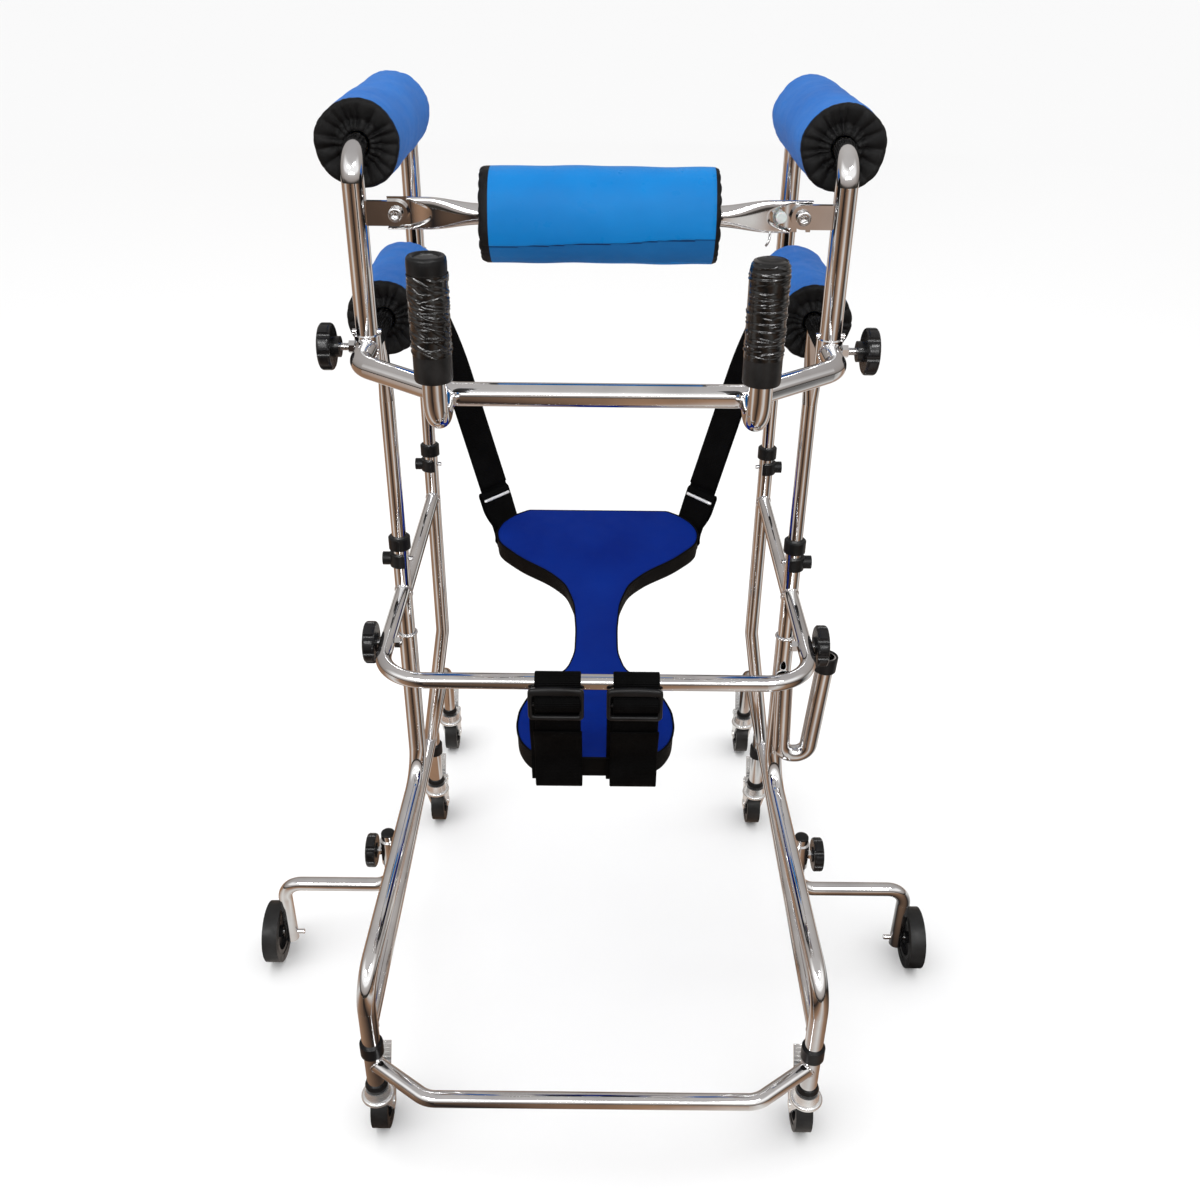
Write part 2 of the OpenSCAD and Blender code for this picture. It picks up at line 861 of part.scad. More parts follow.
// Slot that lets an inner post rise past its locking pin
module pin_slot(side, y) {
    hull_d = pin_d + 2 * pin_fit;
    for (z = [pin_z, pin_z - lift_travel])
        x_bar([side * post_x, y, z], hull_d, inner_tube_d + 2 * overrun);
    translate([side * post_x, y, pin_z - lift_travel / 2])
        cube([inner_tube_d + 2 * overrun, hull_d, lift_travel], center = true);
}

module armpit_sleeves() {
    for (side = SIDES) {
        color(CHROME)
            difference() {
                union() {
                    for (y = [armpit_y, far_post_y])
                        rod([side * post_x, y, sleeve_bottom_z], [side * post_x, y, sleeve_top_z], sleeve_d);
                    rod(
                        [side * post_x, far_post_y, sleeve_bottom_z - sleeve_socket_h],
                        [side * post_x, far_post_y, sleeve_bottom_z],
                        sleeve_d
                    );
                }
                rod(
                    [side * post_x, armpit_y, sleeve_bottom_z - overrun],
                    [side * post_x, armpit_y, sleeve_top_z + overrun],
                    sleeve_bore_d
                );
                rod(
                    [side * post_x, far_post_y, armpit_leg_z - sleeve_wall],
                    [side * post_x, far_post_y, sleeve_top_z + overrun],
                    sleeve_bore_d
                );
                rod(
                    [side * post_x, far_post_y, sleeve_bottom_z - sleeve_socket_h - overrun],
                    [side * post_x, far_post_y, sleeve_bottom_z - sleeve_socket_h / 4 + weld_gap],
                    inner_tube_d + 2 * weld_gap
                );
                x_bar(
                    [side * (post_x + sleeve_d / 2), armpit_y, handle_z],
                    knob_bolt_d + 2 * bolt_fit,
                    sleeve_d
                );
            }
        color(ZINC)
            knob_nut([side * (post_x + sleeve_d / 2), armpit_y, handle_z], side, nut_t);
    }
}

module handle_grips() {
    edge = grip_d / 6;
    color(BLACK)
        for (side = SIDES)
            translate([side * grip_x, handle_y - grip_reach, grip_top_z - grip_length])
                difference() {
                    rotate_extrude() {
                        square([grip_d / 2, grip_length - edge]);
                        square([grip_d / 2 - edge, grip_length]);
                        translate([grip_d / 2 - edge, grip_length - edge])
                            circle(r = edge);
                    }
                    translate([0, 0, -overrun])
                        cylinder(
                            d = grip_tube_d + 2 * slide_fit,
                            h = grip_length - grip_cap + slide_fit + overrun
                        );
                }
}

// Armpit supports and chest bar

module armpit_arch(side) {
    path = armpit_path(side);
    bolt_z = sleeve_top_z + stop_bolt_d / 2 + stop_gap;
    color(CHROME) {
        difference() {
            union() {
                bent_bar(path, armpit_radii, armpit_tube_d);
                chest_tab(side);
            }
            bent_bar(stretched(path, overrun), armpit_radii, armpit_tube_d - 2 * tube_wall);
            x_bar([side * post_x, armpit_y, bolt_z], stop_bolt_d, armpit_tube_d + 2 * overrun);
            y_bar([side * chest_bolt_x, armpit_y, chest_z], chest_bolt_d, tab_t + 2 * overrun);
        }
    }
    color(ZINC) {
        x_bar([side * post_x, armpit_y, bolt_z], stop_bolt_d, armpit_tube_d + 2 * stop_bolt_reach);
        chest_bolt(side);
    }
}

// Tab with a round end, welded to the inner side of the near armpit leg
module chest_tab(side) {
    reach = post_x - chest_bolt_x;
    translate([side * (post_x + chest_bolt_x) / 2, armpit_y, chest_z])
        cube([reach, tab_t, tab_h], center = true);
    y_bar([side * chest_bolt_x, armpit_y, chest_z], tab_h, tab_t);
}

// Bolt of the chest bar: head in front of the tab, nut behind the bar's back wall
bolt_head_d = 15;
bolt_head_h = 5;
back_wall = 5;
end_fit = 0.4;

module chest_bolt(side) {
    back = tab_t / 2 + end_fit + back_wall + end_fit;
    translate([side * chest_bolt_x, armpit_y, chest_z])
        rotate([90, 0, 0]) {
            translate([0, 0, -back - bolt_head_h])
                cylinder(d = chest_bolt_d, h = back + bolt_head_h + tab_t / 2);
            translate([0, 0, tab_t / 2])
                cylinder(d = bolt_head_d, h = bolt_head_h);
            translate([0, 0, -back - bolt_head_h])
                cylinder(d = bolt_head_d, h = bolt_head_h, $fn = 6);
        }
}

// Chest bar: a tube whose ends are pressed into flat blocks, each with a pocket for its tab
end_h = 34;
end_length = 44;
taper_length = 40;
end_over = 10;

module chest_bar() {
    inner_end = chest_bolt_x - end_length;
    tube_end = inner_end - taper_length;
    color(CHROME)
        difference() {
            union() {
                straight_tube([-tube_end, armpit_y, chest_z], [tube_end, armpit_y, chest_z], chest_tube_d);
                for (side = SIDES) {
                    chest_taper(side, tube_end, inner_end);
                    chest_end(side, inner_end);
                }
            }
            chest_pocket(LEFT, chest_swing);
            chest_pocket(RIGHT, 0);
            y_bar([LEFT * chest_bolt_x, armpit_y, chest_z], chest_bolt_d + 2 * turn_fit, end_h);
            lift_slot();
            button_hole();
        }
}

// Depth of the flat ends, before and behind the tab
end_front = tab_t / 2;
end_back = tab_t / 2 + end_fit + back_wall;

module chest_taper(side, from, to) {
    hull() {
        x_bar([side * from, armpit_y, chest_z], chest_tube_d, weld_gap, $fn = 32);
        translate([side * to, armpit_y, chest_z])
            translate([0, (end_back - end_front) / 2, 0])
                cube([weld_gap, end_front + end_back, end_h], center = true);
    }
}

module chest_end(side, from) {
    length = end_length + end_over;
    translate([side * (from + length / 2), armpit_y + (end_back - end_front) / 2, chest_z])
        cube([length, end_front + end_back, end_h], center = true);
}

// Room for the tab in an end of the bar, and for the tab's path when the bar swings
module chest_pocket(side, swing) {
    reach = end_h * 2;
    slack = tab_h / 2 + end_fit;
    translate([side * chest_bolt_x, armpit_y + tab_t / 2 + end_fit, chest_z])
        rotate([90, 0, 0])
            linear_extrude(tab_t + end_front + end_fit + overrun) {
                circle(r = slack);
                translate([side * reach / 2, 0])
                    square([reach, 2 * slack], center = true);
                if (swing > 0)
                    swing_room(side, swing, slack, reach);
                else
                    translate([0, -reach / 2])
                        square([2 * slack, reach], center = true);
            }
}

// The wedge that the tab sweeps as the bar swings up
module swing_room(side, swing, slack, reach) {
    rotate(side * swing)
        translate([side * reach / 2, 0])
            square([reach, 2 * slack], center = true);
    polygon([
        [0, slack],
        [0, reach],
        [side * reach, reach],
        [side * reach, 0],
        [0, 0]
    ]);
}

// Open slot under the right bolt, so that this end lifts off
slot_fit = 0.9;
module lift_slot() {
    w = chest_bolt_d + 2 * slot_fit;
    y_bar([RIGHT * chest_bolt_x, armpit_y, chest_z], w, 2 * end_h);
    translate([RIGHT * chest_bolt_x, armpit_y, chest_z - end_h / 2])
        cube([w, 2 * end_h, end_h], center = true);
}

// Spring button in the right end of the chest bar
button_d = 12;
button_fit = 0.1;
button_proud = 2.5;
button_depth = 8;
button_travel = 2;
button_back = 24;
button_x = chest_bolt_x - button_back;

module button_hole() {
    y_bar(
        [button_x, armpit_y - end_front + button_depth / 2 - overrun / 2, chest_z],
        button_d + 2 * button_fit,
        button_depth + overrun
    );
}

module chest_latch_button() {
    length = button_depth - button_travel - stop_gap;
    color("gainsboro")
        translate([button_x, armpit_y - end_front - button_proud, chest_z])
            rotate([-90, 0, 0])
                rotate_extrude() {
                    translate([0, button_proud / 2])
                        square([button_d / 2, length + button_proud / 2]);
                    square([button_d / 2 - button_proud / 2, button_proud]);
                    translate([button_d / 2 - button_proud / 2, button_proud / 2])
                        circle(r = button_proud / 2);
                }
}

// Padded rolls: a full barrel whose cover is gathered into pleats at both ends

roll_sectors = 44;
pleats = 11;
// Half profile of a roll from its bore to its middle: [share of the radius, depth share, pleat share]
roll_end_shares = [
    [0.36, 0.10, 0.30],
    [0.52, 0.30, 1.00],
    [0.76, 0.12, 0.80],
    [0.93, 0.22, 0.40],
    [0.99, 0.60, 0.10]
];
roll_end_depth = 14;
roll_shoulder = 26;
roll_crown_share = 1.006;
roll_gather_depth = 5;

// Ring of points at one place of the profile
function roll_ring(r, z, pleat, flip) = [
    for (i = [0 : roll_sectors - 1])
        let (a = 360 * i / roll_sectors)
        [r * cos(a), r * sin(a), flip * (z - pleat * pleat_depth * (0.5 - 0.5 * cos(pleats * a)))]
];

module padded_roll(d, length, bore) {
    r = d / 2;
    rb = (bore / 2 + soft_gap) / cos(180 / roll_sectors);
    half = length / 2;
    lower = [for (p = roll_end_shares) [p[0] * r, half - p[1] * roll_end_depth, p[2]]];
    top = concat([[rb, half - roll_gather_depth, 0]], lower, [[r, half - roll_shoulder, 0]]);
    n = len(top);
    rings = concat(
        [for (i = [0 : n - 1]) roll_ring(top[i][0], top[i][1], top[i][2], 1)],
        [roll_ring(r * roll_crown_share, 0, 0, 1)],
        [for (i = [n - 1 : -1 : 0]) roll_ring(top[i][0], top[i][1], top[i][2], -1)]
    );
    count = len(rings);
    points = [for (one = rings, p = one) p];
    faces = [
        for (k = [0 : count - 1], i = [0 : roll_sectors - 1])
            let (
                j = (i + 1) % roll_sectors,
                m = (k + 1) % count,
                a = k * roll_sectors + i,
                b = k * roll_sectors + j,
                c = m * roll_sectors + j,
                e = m * roll_sectors + i
            )
            each [[a, c, b], [a, e, c]]
    ];
    polyhedron(points = points, faces = faces);
}

module y_roll(c, d, length, bore) {
    color(SKY)
        translate(c)
            rotate([90, 0, 0])
                padded_roll(d, length, bore);
}

// Gap between the near posts and the forearm rolls
arm_roll_gap = 6;
arm_roll_y = near_post_y + inner_tube_d * flat_w_share / 2 + arm_roll_gap + arm_roll_length / 2;
// The armpit roll starts where the bend of the near armpit leg ends
armpit_roll_y = armpit_y + armpit_front_r + armpit_roll_length / 2;

module arm_roll(side) {
    y_roll([side * post_x, arm_roll_y, handle_z], arm_roll_d, arm_roll_length, handle_tube_d);
}

module armpit_roll(side) {
    y_roll([side * post_x, armpit_roll_y, armpit_z], armpit_roll_d, armpit_roll_length, armpit_tube_d);
}

module chest_roll() {
    color(SKY)
        translate([0, armpit_y, chest_z])
            rotate([0, 90, 0])
                padded_roll(chest_roll_d, chest_roll_length, chest_tube_d);
}

// Star knobs

knob_flutes = 8;
flute_d = 10;
knob_hub_d = 24;
knob_hub_h = 8;
low_hub_h = 2;

// Nut on a face, with a plain bore for the knob's bolt
module knob_nut(face, side, h) {
    translate(face)
        rotate([0, side * 90, 0])
            difference() {
                cylinder(d = nut_d, h = h, $fn = 6);
                translate([0, 0, -overrun])
                    cylinder(d = knob_bolt_d + 2 * bolt_fit, h = h + 2 * overrun);
            }
}

// Knob with its bolt; reach is the length of bolt behind the face, gap the way from the face to the hub
module star_knob(face, side, reach, gap, hub_h) {
    translate(face)
        rotate([0, side * 90, 0]) {
            color(BLACK)
                difference() {
                    union() {
                        translate([0, 0, gap])
                            cylinder(d = knob_hub_d, h = hub_h + knob_t / 2);
                        translate([0, 0, gap + hub_h])
                            knob_head();
                    }
                    translate([0, 0, gap - overrun])
                        cylinder(
                            d = knob_bolt_d + 2 * mould_gap,
                            h = hub_h + knob_t / 2 + overrun + mould_gap
                        );
                }
            color(ZINC)
                translate([0, 0, -reach])
                    cylinder(d = knob_bolt_d, h = reach + gap + hub_h + knob_t / 2);
        }
}

module knob_head() {
    edge = knob_t / 4;
    difference() {
        rotate_extrude() {
            square([knob_d / 2 - edge, knob_t]);
            translate([0, edge])
                square([knob_d / 2, knob_t - 2 * edge]);
            for (z = [edge, knob_t - edge])
                translate([knob_d / 2 - edge, z])
                    circle(r = edge);
        }
        for (i = [0 : knob_flutes - 1])
            rotate(360 * i / knob_flutes)
                translate([knob_d / 2 + flute_d / 5, 0, -overrun])
                    cylinder(d = flute_d, h = knob_t + 2 * overrun);
    }
}

module armpit_knob(side) {
    reach = (sleeve_d - armpit_tube_d) / 2 - tip_gap;
    face = [side * (post_x + sleeve_d / 2), armpit_y, handle_z];
    star_knob(face, side, reach, nut_t + knob_stand_off, knob_hub_h);
}

module seat_knob(side) {
    reach = seat_tube_d + nut_t + tube_wall;
    face = [side * (post_x + seat_tube_d / 2), seat_knob_y, seat_bar_z];
    star_knob(face, side, reach, knob_gap, low_hub_h);
}

module outrigger_knob(side) {
    reach = (bracket_d - outrigger_tube_d) / 2 - tip_gap;
    face = [side * (bracket_x + bracket_d / 2), outrigger_y, bracket_z];
    star_knob(face, side, reach, nut_t / 2 + knob_gap, low_hub_h);
}

// Casters, drawn about the swivel axis on the floor

pivot_y = 36;
pivot_z = 83;
pivot_d = 5;
ear_d = 14;
barrel_d = 10;
pedal_t = 3;
side_gap = 1;
stem_top_gap = 2;
cheek_foot_d = 24;
cheek_x = wheel_w / 2 + side_gap;
housing_z = caster_h - housing_h;
neck_share = 0.36;
cheek_top_share = 0.38;
pin_head_share = 1.6;
axle_head_share = 1.8;

module fork() {
    color(ZINC) {
        swivel_housing();
        for (side = SIDES)
            cheek(side);
        fork_pin([0, trail, wheel_d / 2], axle_d);
        fork_pin([0, pivot_y, pivot_z], pivot_d);
    }
}

// Bearing cups and stem
module swivel_housing() {
    neck = housing_d * neck_share;
    bead = housing_h / 5;
    rotate_extrude() {
        translate([0, housing_z])
            polygon([
                [0, 0],
                [housing_d / 2 - bead, 0],
                [housing_d / 2 - bead, 2 * bead],
                [neck, housing_h],
                [0, housing_h]
            ]);
        translate([housing_d / 2 - bead, housing_z + bead])
            circle(r = bead);
        square_stem = caster_top_z + bush_depth - stem_top_gap - housing_z;
        translate([0, housing_z])
            square([stem_d / 2, square_stem]);
    }
}

module cheek(side) {
    sink = housing_h / 5;
    half = housing_d * cheek_top_share;
    translate([side * (cheek_x + cheek_t / 2), 0, 0])
        rotate([90, 0, 90])
            translate([0, 0, -cheek_t / 2])
                linear_extrude(cheek_t) {
                    polygon([
                        [-half, housing_z + sink],
                        [half, housing_z + sink],
                        [pivot_y + ear_d / 2, pivot_z],
                        [trail + cheek_foot_d / 2, wheel_d / 2],
                        [trail - cheek_foot_d / 2, wheel_d / 2]
                    ]);
                    translate([trail, wheel_d / 2])
                        circle(d = cheek_foot_d);
                    translate([pivot_y, pivot_z])
                        circle(d = ear_d);
                }
}

// Pin through both cheeks, with a round head at each end
module fork_pin(c, d) {
    head = cheek_t / 2;
    span = 2 * (cheek_x + cheek_t);
    x_bar(c, d, span + head);
    for (side = SIDES)
        x_bar([side * (span + head) / 2, c.y, c.z], d * pin_head_share, head);
}

// Rim of a wheel, as shares of the tread's depth and of the width
rim_depth_share = 0.6;
rim_width_share = 0.9;

module tyre_and_hub(d, w, bore) {
    edge = w / 5;
    tread = d / 8;
    web = w / 3;
    boss = bore + w / 2;
    color(BLACK)
        rotate([0, 90, 0])
            rotate_extrude()
                translate([d / 2 - tread / 2, 0])
                    difference() {
                        rounded_rect(tread + 2 * edge, w, edge);
                        translate([-tread - tread / 2, -w])
                            square([tread + mould_gap, 2 * w]);
                        translate([tread / 2, -w])
                            square([tread, 2 * w]);
                    }
    color("dimgray")
        rotate([0, 90, 0])
            rotate_extrude()
                difference() {
                    union() {
                        translate([0, -w / 2])
                            square([boss / 2, w]);
                        translate([0, -web / 2])
                            square([d / 2 - tread, web]);
                        translate([d / 2 - tread - tread * rim_depth_share, -w * rim_width_share / 2])
                            square([tread * rim_depth_share, w * rim_width_share]);
                    }
                    translate([0, -w])
                        square([bore / 2, 2 * w]);
                }
}

module caster_wheel() {
    translate([0, trail, wheel_d / 2])
        tyre_and_hub(wheel_d, wheel_w, axle_d + 2 * turn_fit);
}

// Brake pedal: a barrel on its pin and a ridged tread that slopes up to the rear
ridges = 6;
ridge_d = 2.4;

module pedal() {
    color(ZINC)
        translate([0, pivot_y, pivot_z])
            difference() {
                union() {
                    x_bar([0, 0, 0], barrel_d, pedal_w);
                    rotate([pedal_tilt, 0, 0]) {
                        translate([-pedal_w / 2, 0, -pedal_t / 2])
                            cube([pedal_w, pedal_length - pedal_t / 2, pedal_t]);
                        x_bar([0, pedal_length - pedal_t / 2, 0], pedal_t, pedal_w);
                        for (i = [1 : ridges])
                            x_bar(
                                [0, barrel_d / 2 + i * (pedal_length - barrel_d) / ridges, pedal_t / 2],
                                ridge_d,
                                pedal_w
                            );
                    }
                }
                x_bar([0, 0, 0], pivot_d + 2 * turn_fit, 2 * pedal_w);
            }
}

module at_caster(side, y) {
    translate([side * leg_x, y, 0])
        children();
}

// Outriggers

outrigger_side_gap = 1;
outrigger_bolt_head_h = 6;

module outrigger_arm(side) {
    path = outrigger_path(side);
    wheel_in = outrigger_x + outrigger_tube_d / 2 + outrigger_side_gap;
    color(CHROME)
        difference() {
            bent_tube(path, outrigger_bend_r, outrigger_tube_d);
            x_bar([side * outrigger_x, outrigger_y, outrigger_axle_z], axle_d, 2 * outrigger_tube_d);
        }
    color(ZINC) {
        rod(
            [side * (outrigger_x - outrigger_tube_d), outrigger_y, outrigger_axle_z],
            [side * (wheel_in + outrigger_wheel_w + outrigger_side_gap), outrigger_y, outrigger_axle_z],
            axle_d
        );
        translate([side * (wheel_in + outrigger_wheel_w + outrigger_side_gap), outrigger_y, outrigger_axle_z])
            rotate([0, side * 90, 0])
                cylinder(d = axle_d * axle_head_share, h = outrigger_bolt_head_h, $fn = 6);
    }
}

module outrigger_wheel(side) {
    x = outrigger_x + outrigger_tube_d / 2 + outrigger_side_gap + outrigger_wheel_w / 2;
    translate([side * x, outrigger_y, outrigger_axle_z])
        tyre_and_hub(outrigger_wheel_d, outrigger_wheel_w, axle_d + 2 * turn_fit);
}

// Seat

// Outline of the seat: [share of the way from the rear edge to the front, share of the rear half width]
seat_outline_shares = [
    [0.00, 0.72], [0.03, 0.84], [0.07, 0.95], [0.12, 1.00], [0.17, 0.97], [0.24, 0.74], [0.29, 0.48],
    [0.34, 0.31], [0.41, 0.225], [0.50, 0.20], [0.58, 0.205], [0.64, 0.27], [0.69, 0.46], [0.74, 0.61],
    [0.80, 0.685], [0.86, 0.70], [0.91, 0.68], [0.95, 0.625], [0.98, 0.55], [1.00, 0.45]
];
seat_steps = 26;
seat_ring_points = 20;
seat_side_share = 0.5;
// Power that rounds a cross-section: 1 is an ellipse, 0 a box
seat_round_share = 0.42;
seat_edge = 9;

function seat_half_at(s) = seat_half * lookup(s, seat_outline_shares);
function seat_middle(s) = [
    0,
    seat_rear_y + (seat_front_y - seat_rear_y) * s,
    seat_rear_z + (seat_front_z - seat_rear_z) * s
];

// One cross-section of the pad: flat-topped with a low crown, sides that draw in between their edges
function seat_section(s) =
    let (
        c = seat_middle(s),
        w = seat_half_at(s),
        end = min(1, min(s, 1 - s) * (seat_rear_y - seat_front_y) / seat_edge),
        h = seat_t / 2 * (seat_side_share + (1 - seat_side_share) * sqrt(end))
    )
    [for (i = [0 : seat_ring_points - 1])
        let (
            a = -360 * (i + 0.5) / seat_ring_points,
            x = sign(cos(a)) * pow(abs(cos(a)), seat_round_share),
            z = sign(sin(a)) * pow(abs(sin(a)), seat_round_share)
        )
        [x * w, c.y, c.z + z * h + (z > 0 ? seat_crown * (1 - x * x) : 0)]];

module seat_pad() {
    color(ROYAL)
        loft([for (k = [0 : seat_steps]) seat_section(k / seat_steps)]);
}

// A closed skin over cross-sections of equal length, each one counter-clockwise as seen from the first
module loft(sections) {
    n = len(sections[0]);
    last = (len(sections) - 1) * n;
    points = [for (one = sections, p = one) p];
    sides = [
        for (k = [0 : len(sections) - 2], i = [0 : n - 1])
            let (j = (i + 1) % n, a = k * n + i, b = k * n + j, c = (k + 1) * n + j, e = (k + 1) * n + i)
            each [[a, b, c], [a, c, e]]
    ];
    first_end = [for (i = [1 : n - 2]) [0, i + 1, i]];
    last_end = [for (i = [1 : n - 2]) [last, last + i, last + i + 1]];
    polyhedron(points = points, faces = concat(sides, first_end, last_end));
}

// A flat band through a list of points, drawn in its own plane
module band(points, t) {
    for (i = [1 : len(points) - 1]) {
        v = points[i] - points[i - 1];
        translate(points[i - 1])
            rotate(atan2(v.y, v.x))
                translate([0, -t / 2])
                    square([norm(v), t]);
        translate(points[i])
            circle(d = t);
    }
}

// Front straps: round the seat bar, down before the pad's front edge and back under it
seat_slope = (seat_rear_z - seat_front_z) / (seat_rear_y - seat_front_y);
strap_loop_r = seat_tube_d / 2 + strap_gap + strap_t / 2;
strap_under = 70;
strap_front_y = seat_front_y - strap_gap - strap_t / 2;
strap_foot_z = seat_front_z - seat_t / 2 - strap_gap - strap_t / 2;

module front_straps() {
    front = [
        [seat_bar_y - strap_loop_r, seat_bar_z],
        [strap_front_y, seat_front_z + seat_t / 2],
        [strap_front_y, strap_foot_z - seat_slope * strap_t],
        [strap_front_y + strap_under, strap_foot_z + seat_slope * strap_under - strap_t / 2]
    ];
    color(BLACK)
        for (side = SIDES)
            translate([side * front_strap_x - front_strap_w / 2, 0, 0])
                rotate([90, 0, 90])
                    linear_extrude(front_strap_w) {
                        translate([seat_bar_y, seat_bar_z])
                            difference() {
                                circle(r = strap_loop_r + strap_t / 2);
                                circle(r = strap_loop_r - strap_t / 2);
                            }
                        band(front, strap_t);
                    }
}

// Rear straps: from a loop round the side arm to the corner of the rear lobe
rear_loop_r = handle_tube_d / 2 + strap_gap + strap_t / 2;
rear_strap_y = far_post_y - sleeve_d / 2 - strap_gap - rear_strap_w / 2;
rear_corner_share = 0.05;
rear_turn_share = 0.4;
rear_steps = 20;

function rear_strap_top(side) = [side * (post_x - rear_loop_r), rear_strap_y, handle_z];
function rear_strap_foot(side) =
    seat_middle(rear_corner_share)
    + [side * seat_half_at(rear_corner_share), 0, 0]
    + (strap_gap + strap_t / 2) * unit([side, 1, 0]);
function rear_strap_along(side) = unit(rear_strap_foot(side) - rear_strap_top(side));
function rear_strap_at(side, share) =
    rear_strap_top(side) + (rear_strap_foot(side) - rear_strap_top(side)) * share;

// Way across a strap: along the side arm at its loop, then turning level, to lie on the pad's round corner
function rear_strap_wide(side, share) =
    let (
        t = min(1, share / rear_turn_share),
        part = t * t * (3 - 2 * t)
    )
    unit((1 - part) * [0, 1, 0] - part * side * unit(cross([0, 0, 1], rear_strap_along(side))));

function rear_strap_section(side, share) =
    let (
        c = rear_strap_at(side, share),
        w = rear_strap_wide(side, share) * rear_strap_w / 2,
        n = unit(cross(w, rear_strap_along(side))) * strap_t / 2
    )
    [c - w - n, c + w - n, c + w + n, c - w + n];

module on_rear_strap(side, share) {
    along = rear_strap_along(side);
    wide = rear_strap_wide(side, share);
    square = unit(wide - along * (along * wide));
    at_axes(rear_strap_at(side, share), cross(square, along), square, along)
        children();
}

module rear_straps() {
    color(BLACK)
        for (side = SIDES) {
            y_loop(side);
            loft([for (k = [0 : rear_steps]) rear_strap_section(side, k / rear_steps)]);
        }
}

module y_loop(side) {
    translate([side * post_x, rear_strap_y, handle_z])
        rotate([90, 0, 0])
            translate([0, 0, -rear_strap_w / 2])
                ring(2 * rear_loop_r + strap_t, 2 * rear_loop_r - strap_t, rear_strap_w);
}

// Buckles: metal slides on the rear straps, plastic ladders on the front straps
buckle_t = 3;
buckle_rim = 5;
buckle_share = 0.86;
ladder_h = 34;
ladder_t = 6;
ladder_drop = 33;

module strap_buckles() {
    color(CHROME)
        for (side = SIDES)
            on_rear_strap(side, buckle_share)
                difference() {
                    cube([strap_t + 2 * buckle_rim, rear_strap_w + 2 * buckle_rim, buckle_t], center = true);
                    cube(
                        [strap_t + 2 * strap_gap, rear_strap_w + 2 * strap_gap, buckle_t + overrun],
                        center = true
                    );
                }
    color(BLACK)
        for (side = SIDES)
            ladder_buckle(side);
}

// Place of a ladder buckle on the sloping stretch of its strap
module ladder_buckle(side) {
    fall = seat_bar_z - seat_front_z - seat_t / 2;
    back = strap_front_y - seat_bar_y + strap_loop_r;
    tilt = atan(back / fall);
    rim = buckle_rim / 2;
    translate([side * front_strap_x, seat_bar_y - strap_loop_r, seat_bar_z])
        rotate([tilt, 0, 0])
            translate([0, 0, -ladder_drop])
                difference() {
                    cube([front_strap_w + 2 * rim, ladder_t + strap_t, ladder_h], center = true);
                    cube(
                        [front_strap_w + 2 * strap_gap, strap_t + 2 * strap_gap, ladder_h + overrun],
                        center = true
                    );
                    for (z = [-1, 1])
                        translate([0, -ladder_t / 2 - strap_t / 2, z * ladder_h / 4])
                            cube([front_strap_w, ladder_t, ladder_h / 4], center = true);
                }
}

front_leg(LEFT);  // left_front_leg
front_leg(RIGHT);  // right_front_leg
rear_leg(LEFT);  // left_rear_leg
rear_leg(RIGHT);  // right_rear_leg
base_rail(LEFT);  // left_base_rail
base_rail(RIGHT);  // right_base_rail
side_braces();
front_bottom_bar();
seat_bar();
drip_stand_holder();
plastic_collars();
seat_pad();
front_straps();
rear_straps();
strap_buckles();
handlebar();
inner_posts();
armpit_sleeves();
handle_grips();
arm_roll(LEFT);  // left_arm_roll
arm_roll(RIGHT);  // right_arm_roll
armpit_arch(LEFT);  // left_armpit_arch
armpit_arch(RIGHT);  // right_armpit_arch
armpit_roll(LEFT);  // left_armpit_roll
armpit_roll(RIGHT);  // right_armpit_roll
chest_bar();
chest_roll();
chest_latch_button();
armpit_knob(LEFT);  // left_armpit_knob
armpit_knob(RIGHT);  // right_armpit_knob
seat_knob(LEFT);  // left_seat_knob
seat_knob(RIGHT);  // right_seat_knob
outrigger_knob(LEFT);  // left_outrigger_knob
outrigger_knob(RIGHT);  // right_outrigger_knob
outrigger_arm(LEFT);  // left_outrigger_arm
outrigger_arm(RIGHT);  // right_outrigger_arm
outrigger_wheel(LEFT);  // left_outrigger_wheel
outrigger_wheel(RIGHT);  // right_outrigger_wheel
pin_clip(LEFT, near_post_y);  // near_left_pin_clip
pin_clip(RIGHT, near_post_y);  // near_right_pin_clip
pin_clip(LEFT, far_post_y);  // far_left_pin_clip
pin_clip(RIGHT, far_post_y);  // far_right_pin_clip
at_caster(LEFT, front_leg_y) fork();  // front_left_fork
at_caster(RIGHT, front_leg_y) fork();  // front_right_fork
at_caster(LEFT, mid_caster_y) fork();  // mid_left_fork
at_caster(RIGHT, mid_caster_y) fork();  // mid_right_fork
at_caster(LEFT, rear_caster_y) fork();  // rear_left_fork
at_caster(RIGHT, rear_caster_y) fork();  // rear_right_fork
at_caster(LEFT, front_leg_y) caster_wheel();  // front_left_wheel
at_caster(RIGHT, front_leg_y) caster_wheel();  // front_right_wheel
at_caster(LEFT, mid_caster_y) caster_wheel();  // mid_left_wheel
at_caster(RIGHT, mid_caster_y) caster_wheel();  // mid_right_wheel
at_caster(LEFT, rear_caster_y) caster_wheel();  // rear_left_wheel
at_caster(RIGHT, rear_caster_y) caster_wheel();  // rear_right_wheel
at_caster(LEFT, front_leg_y) pedal();  // front_left_pedal
at_caster(RIGHT, front_leg_y) pedal();  // front_right_pedal
at_caster(LEFT, mid_caster_y) pedal();  // mid_left_pedal
at_caster(RIGHT, mid_caster_y) pedal();  // mid_right_pedal
at_caster(LEFT, rear_caster_y) pedal();  // rear_left_pedal
at_caster(RIGHT, rear_caster_y) pedal();  // rear_right_pedal
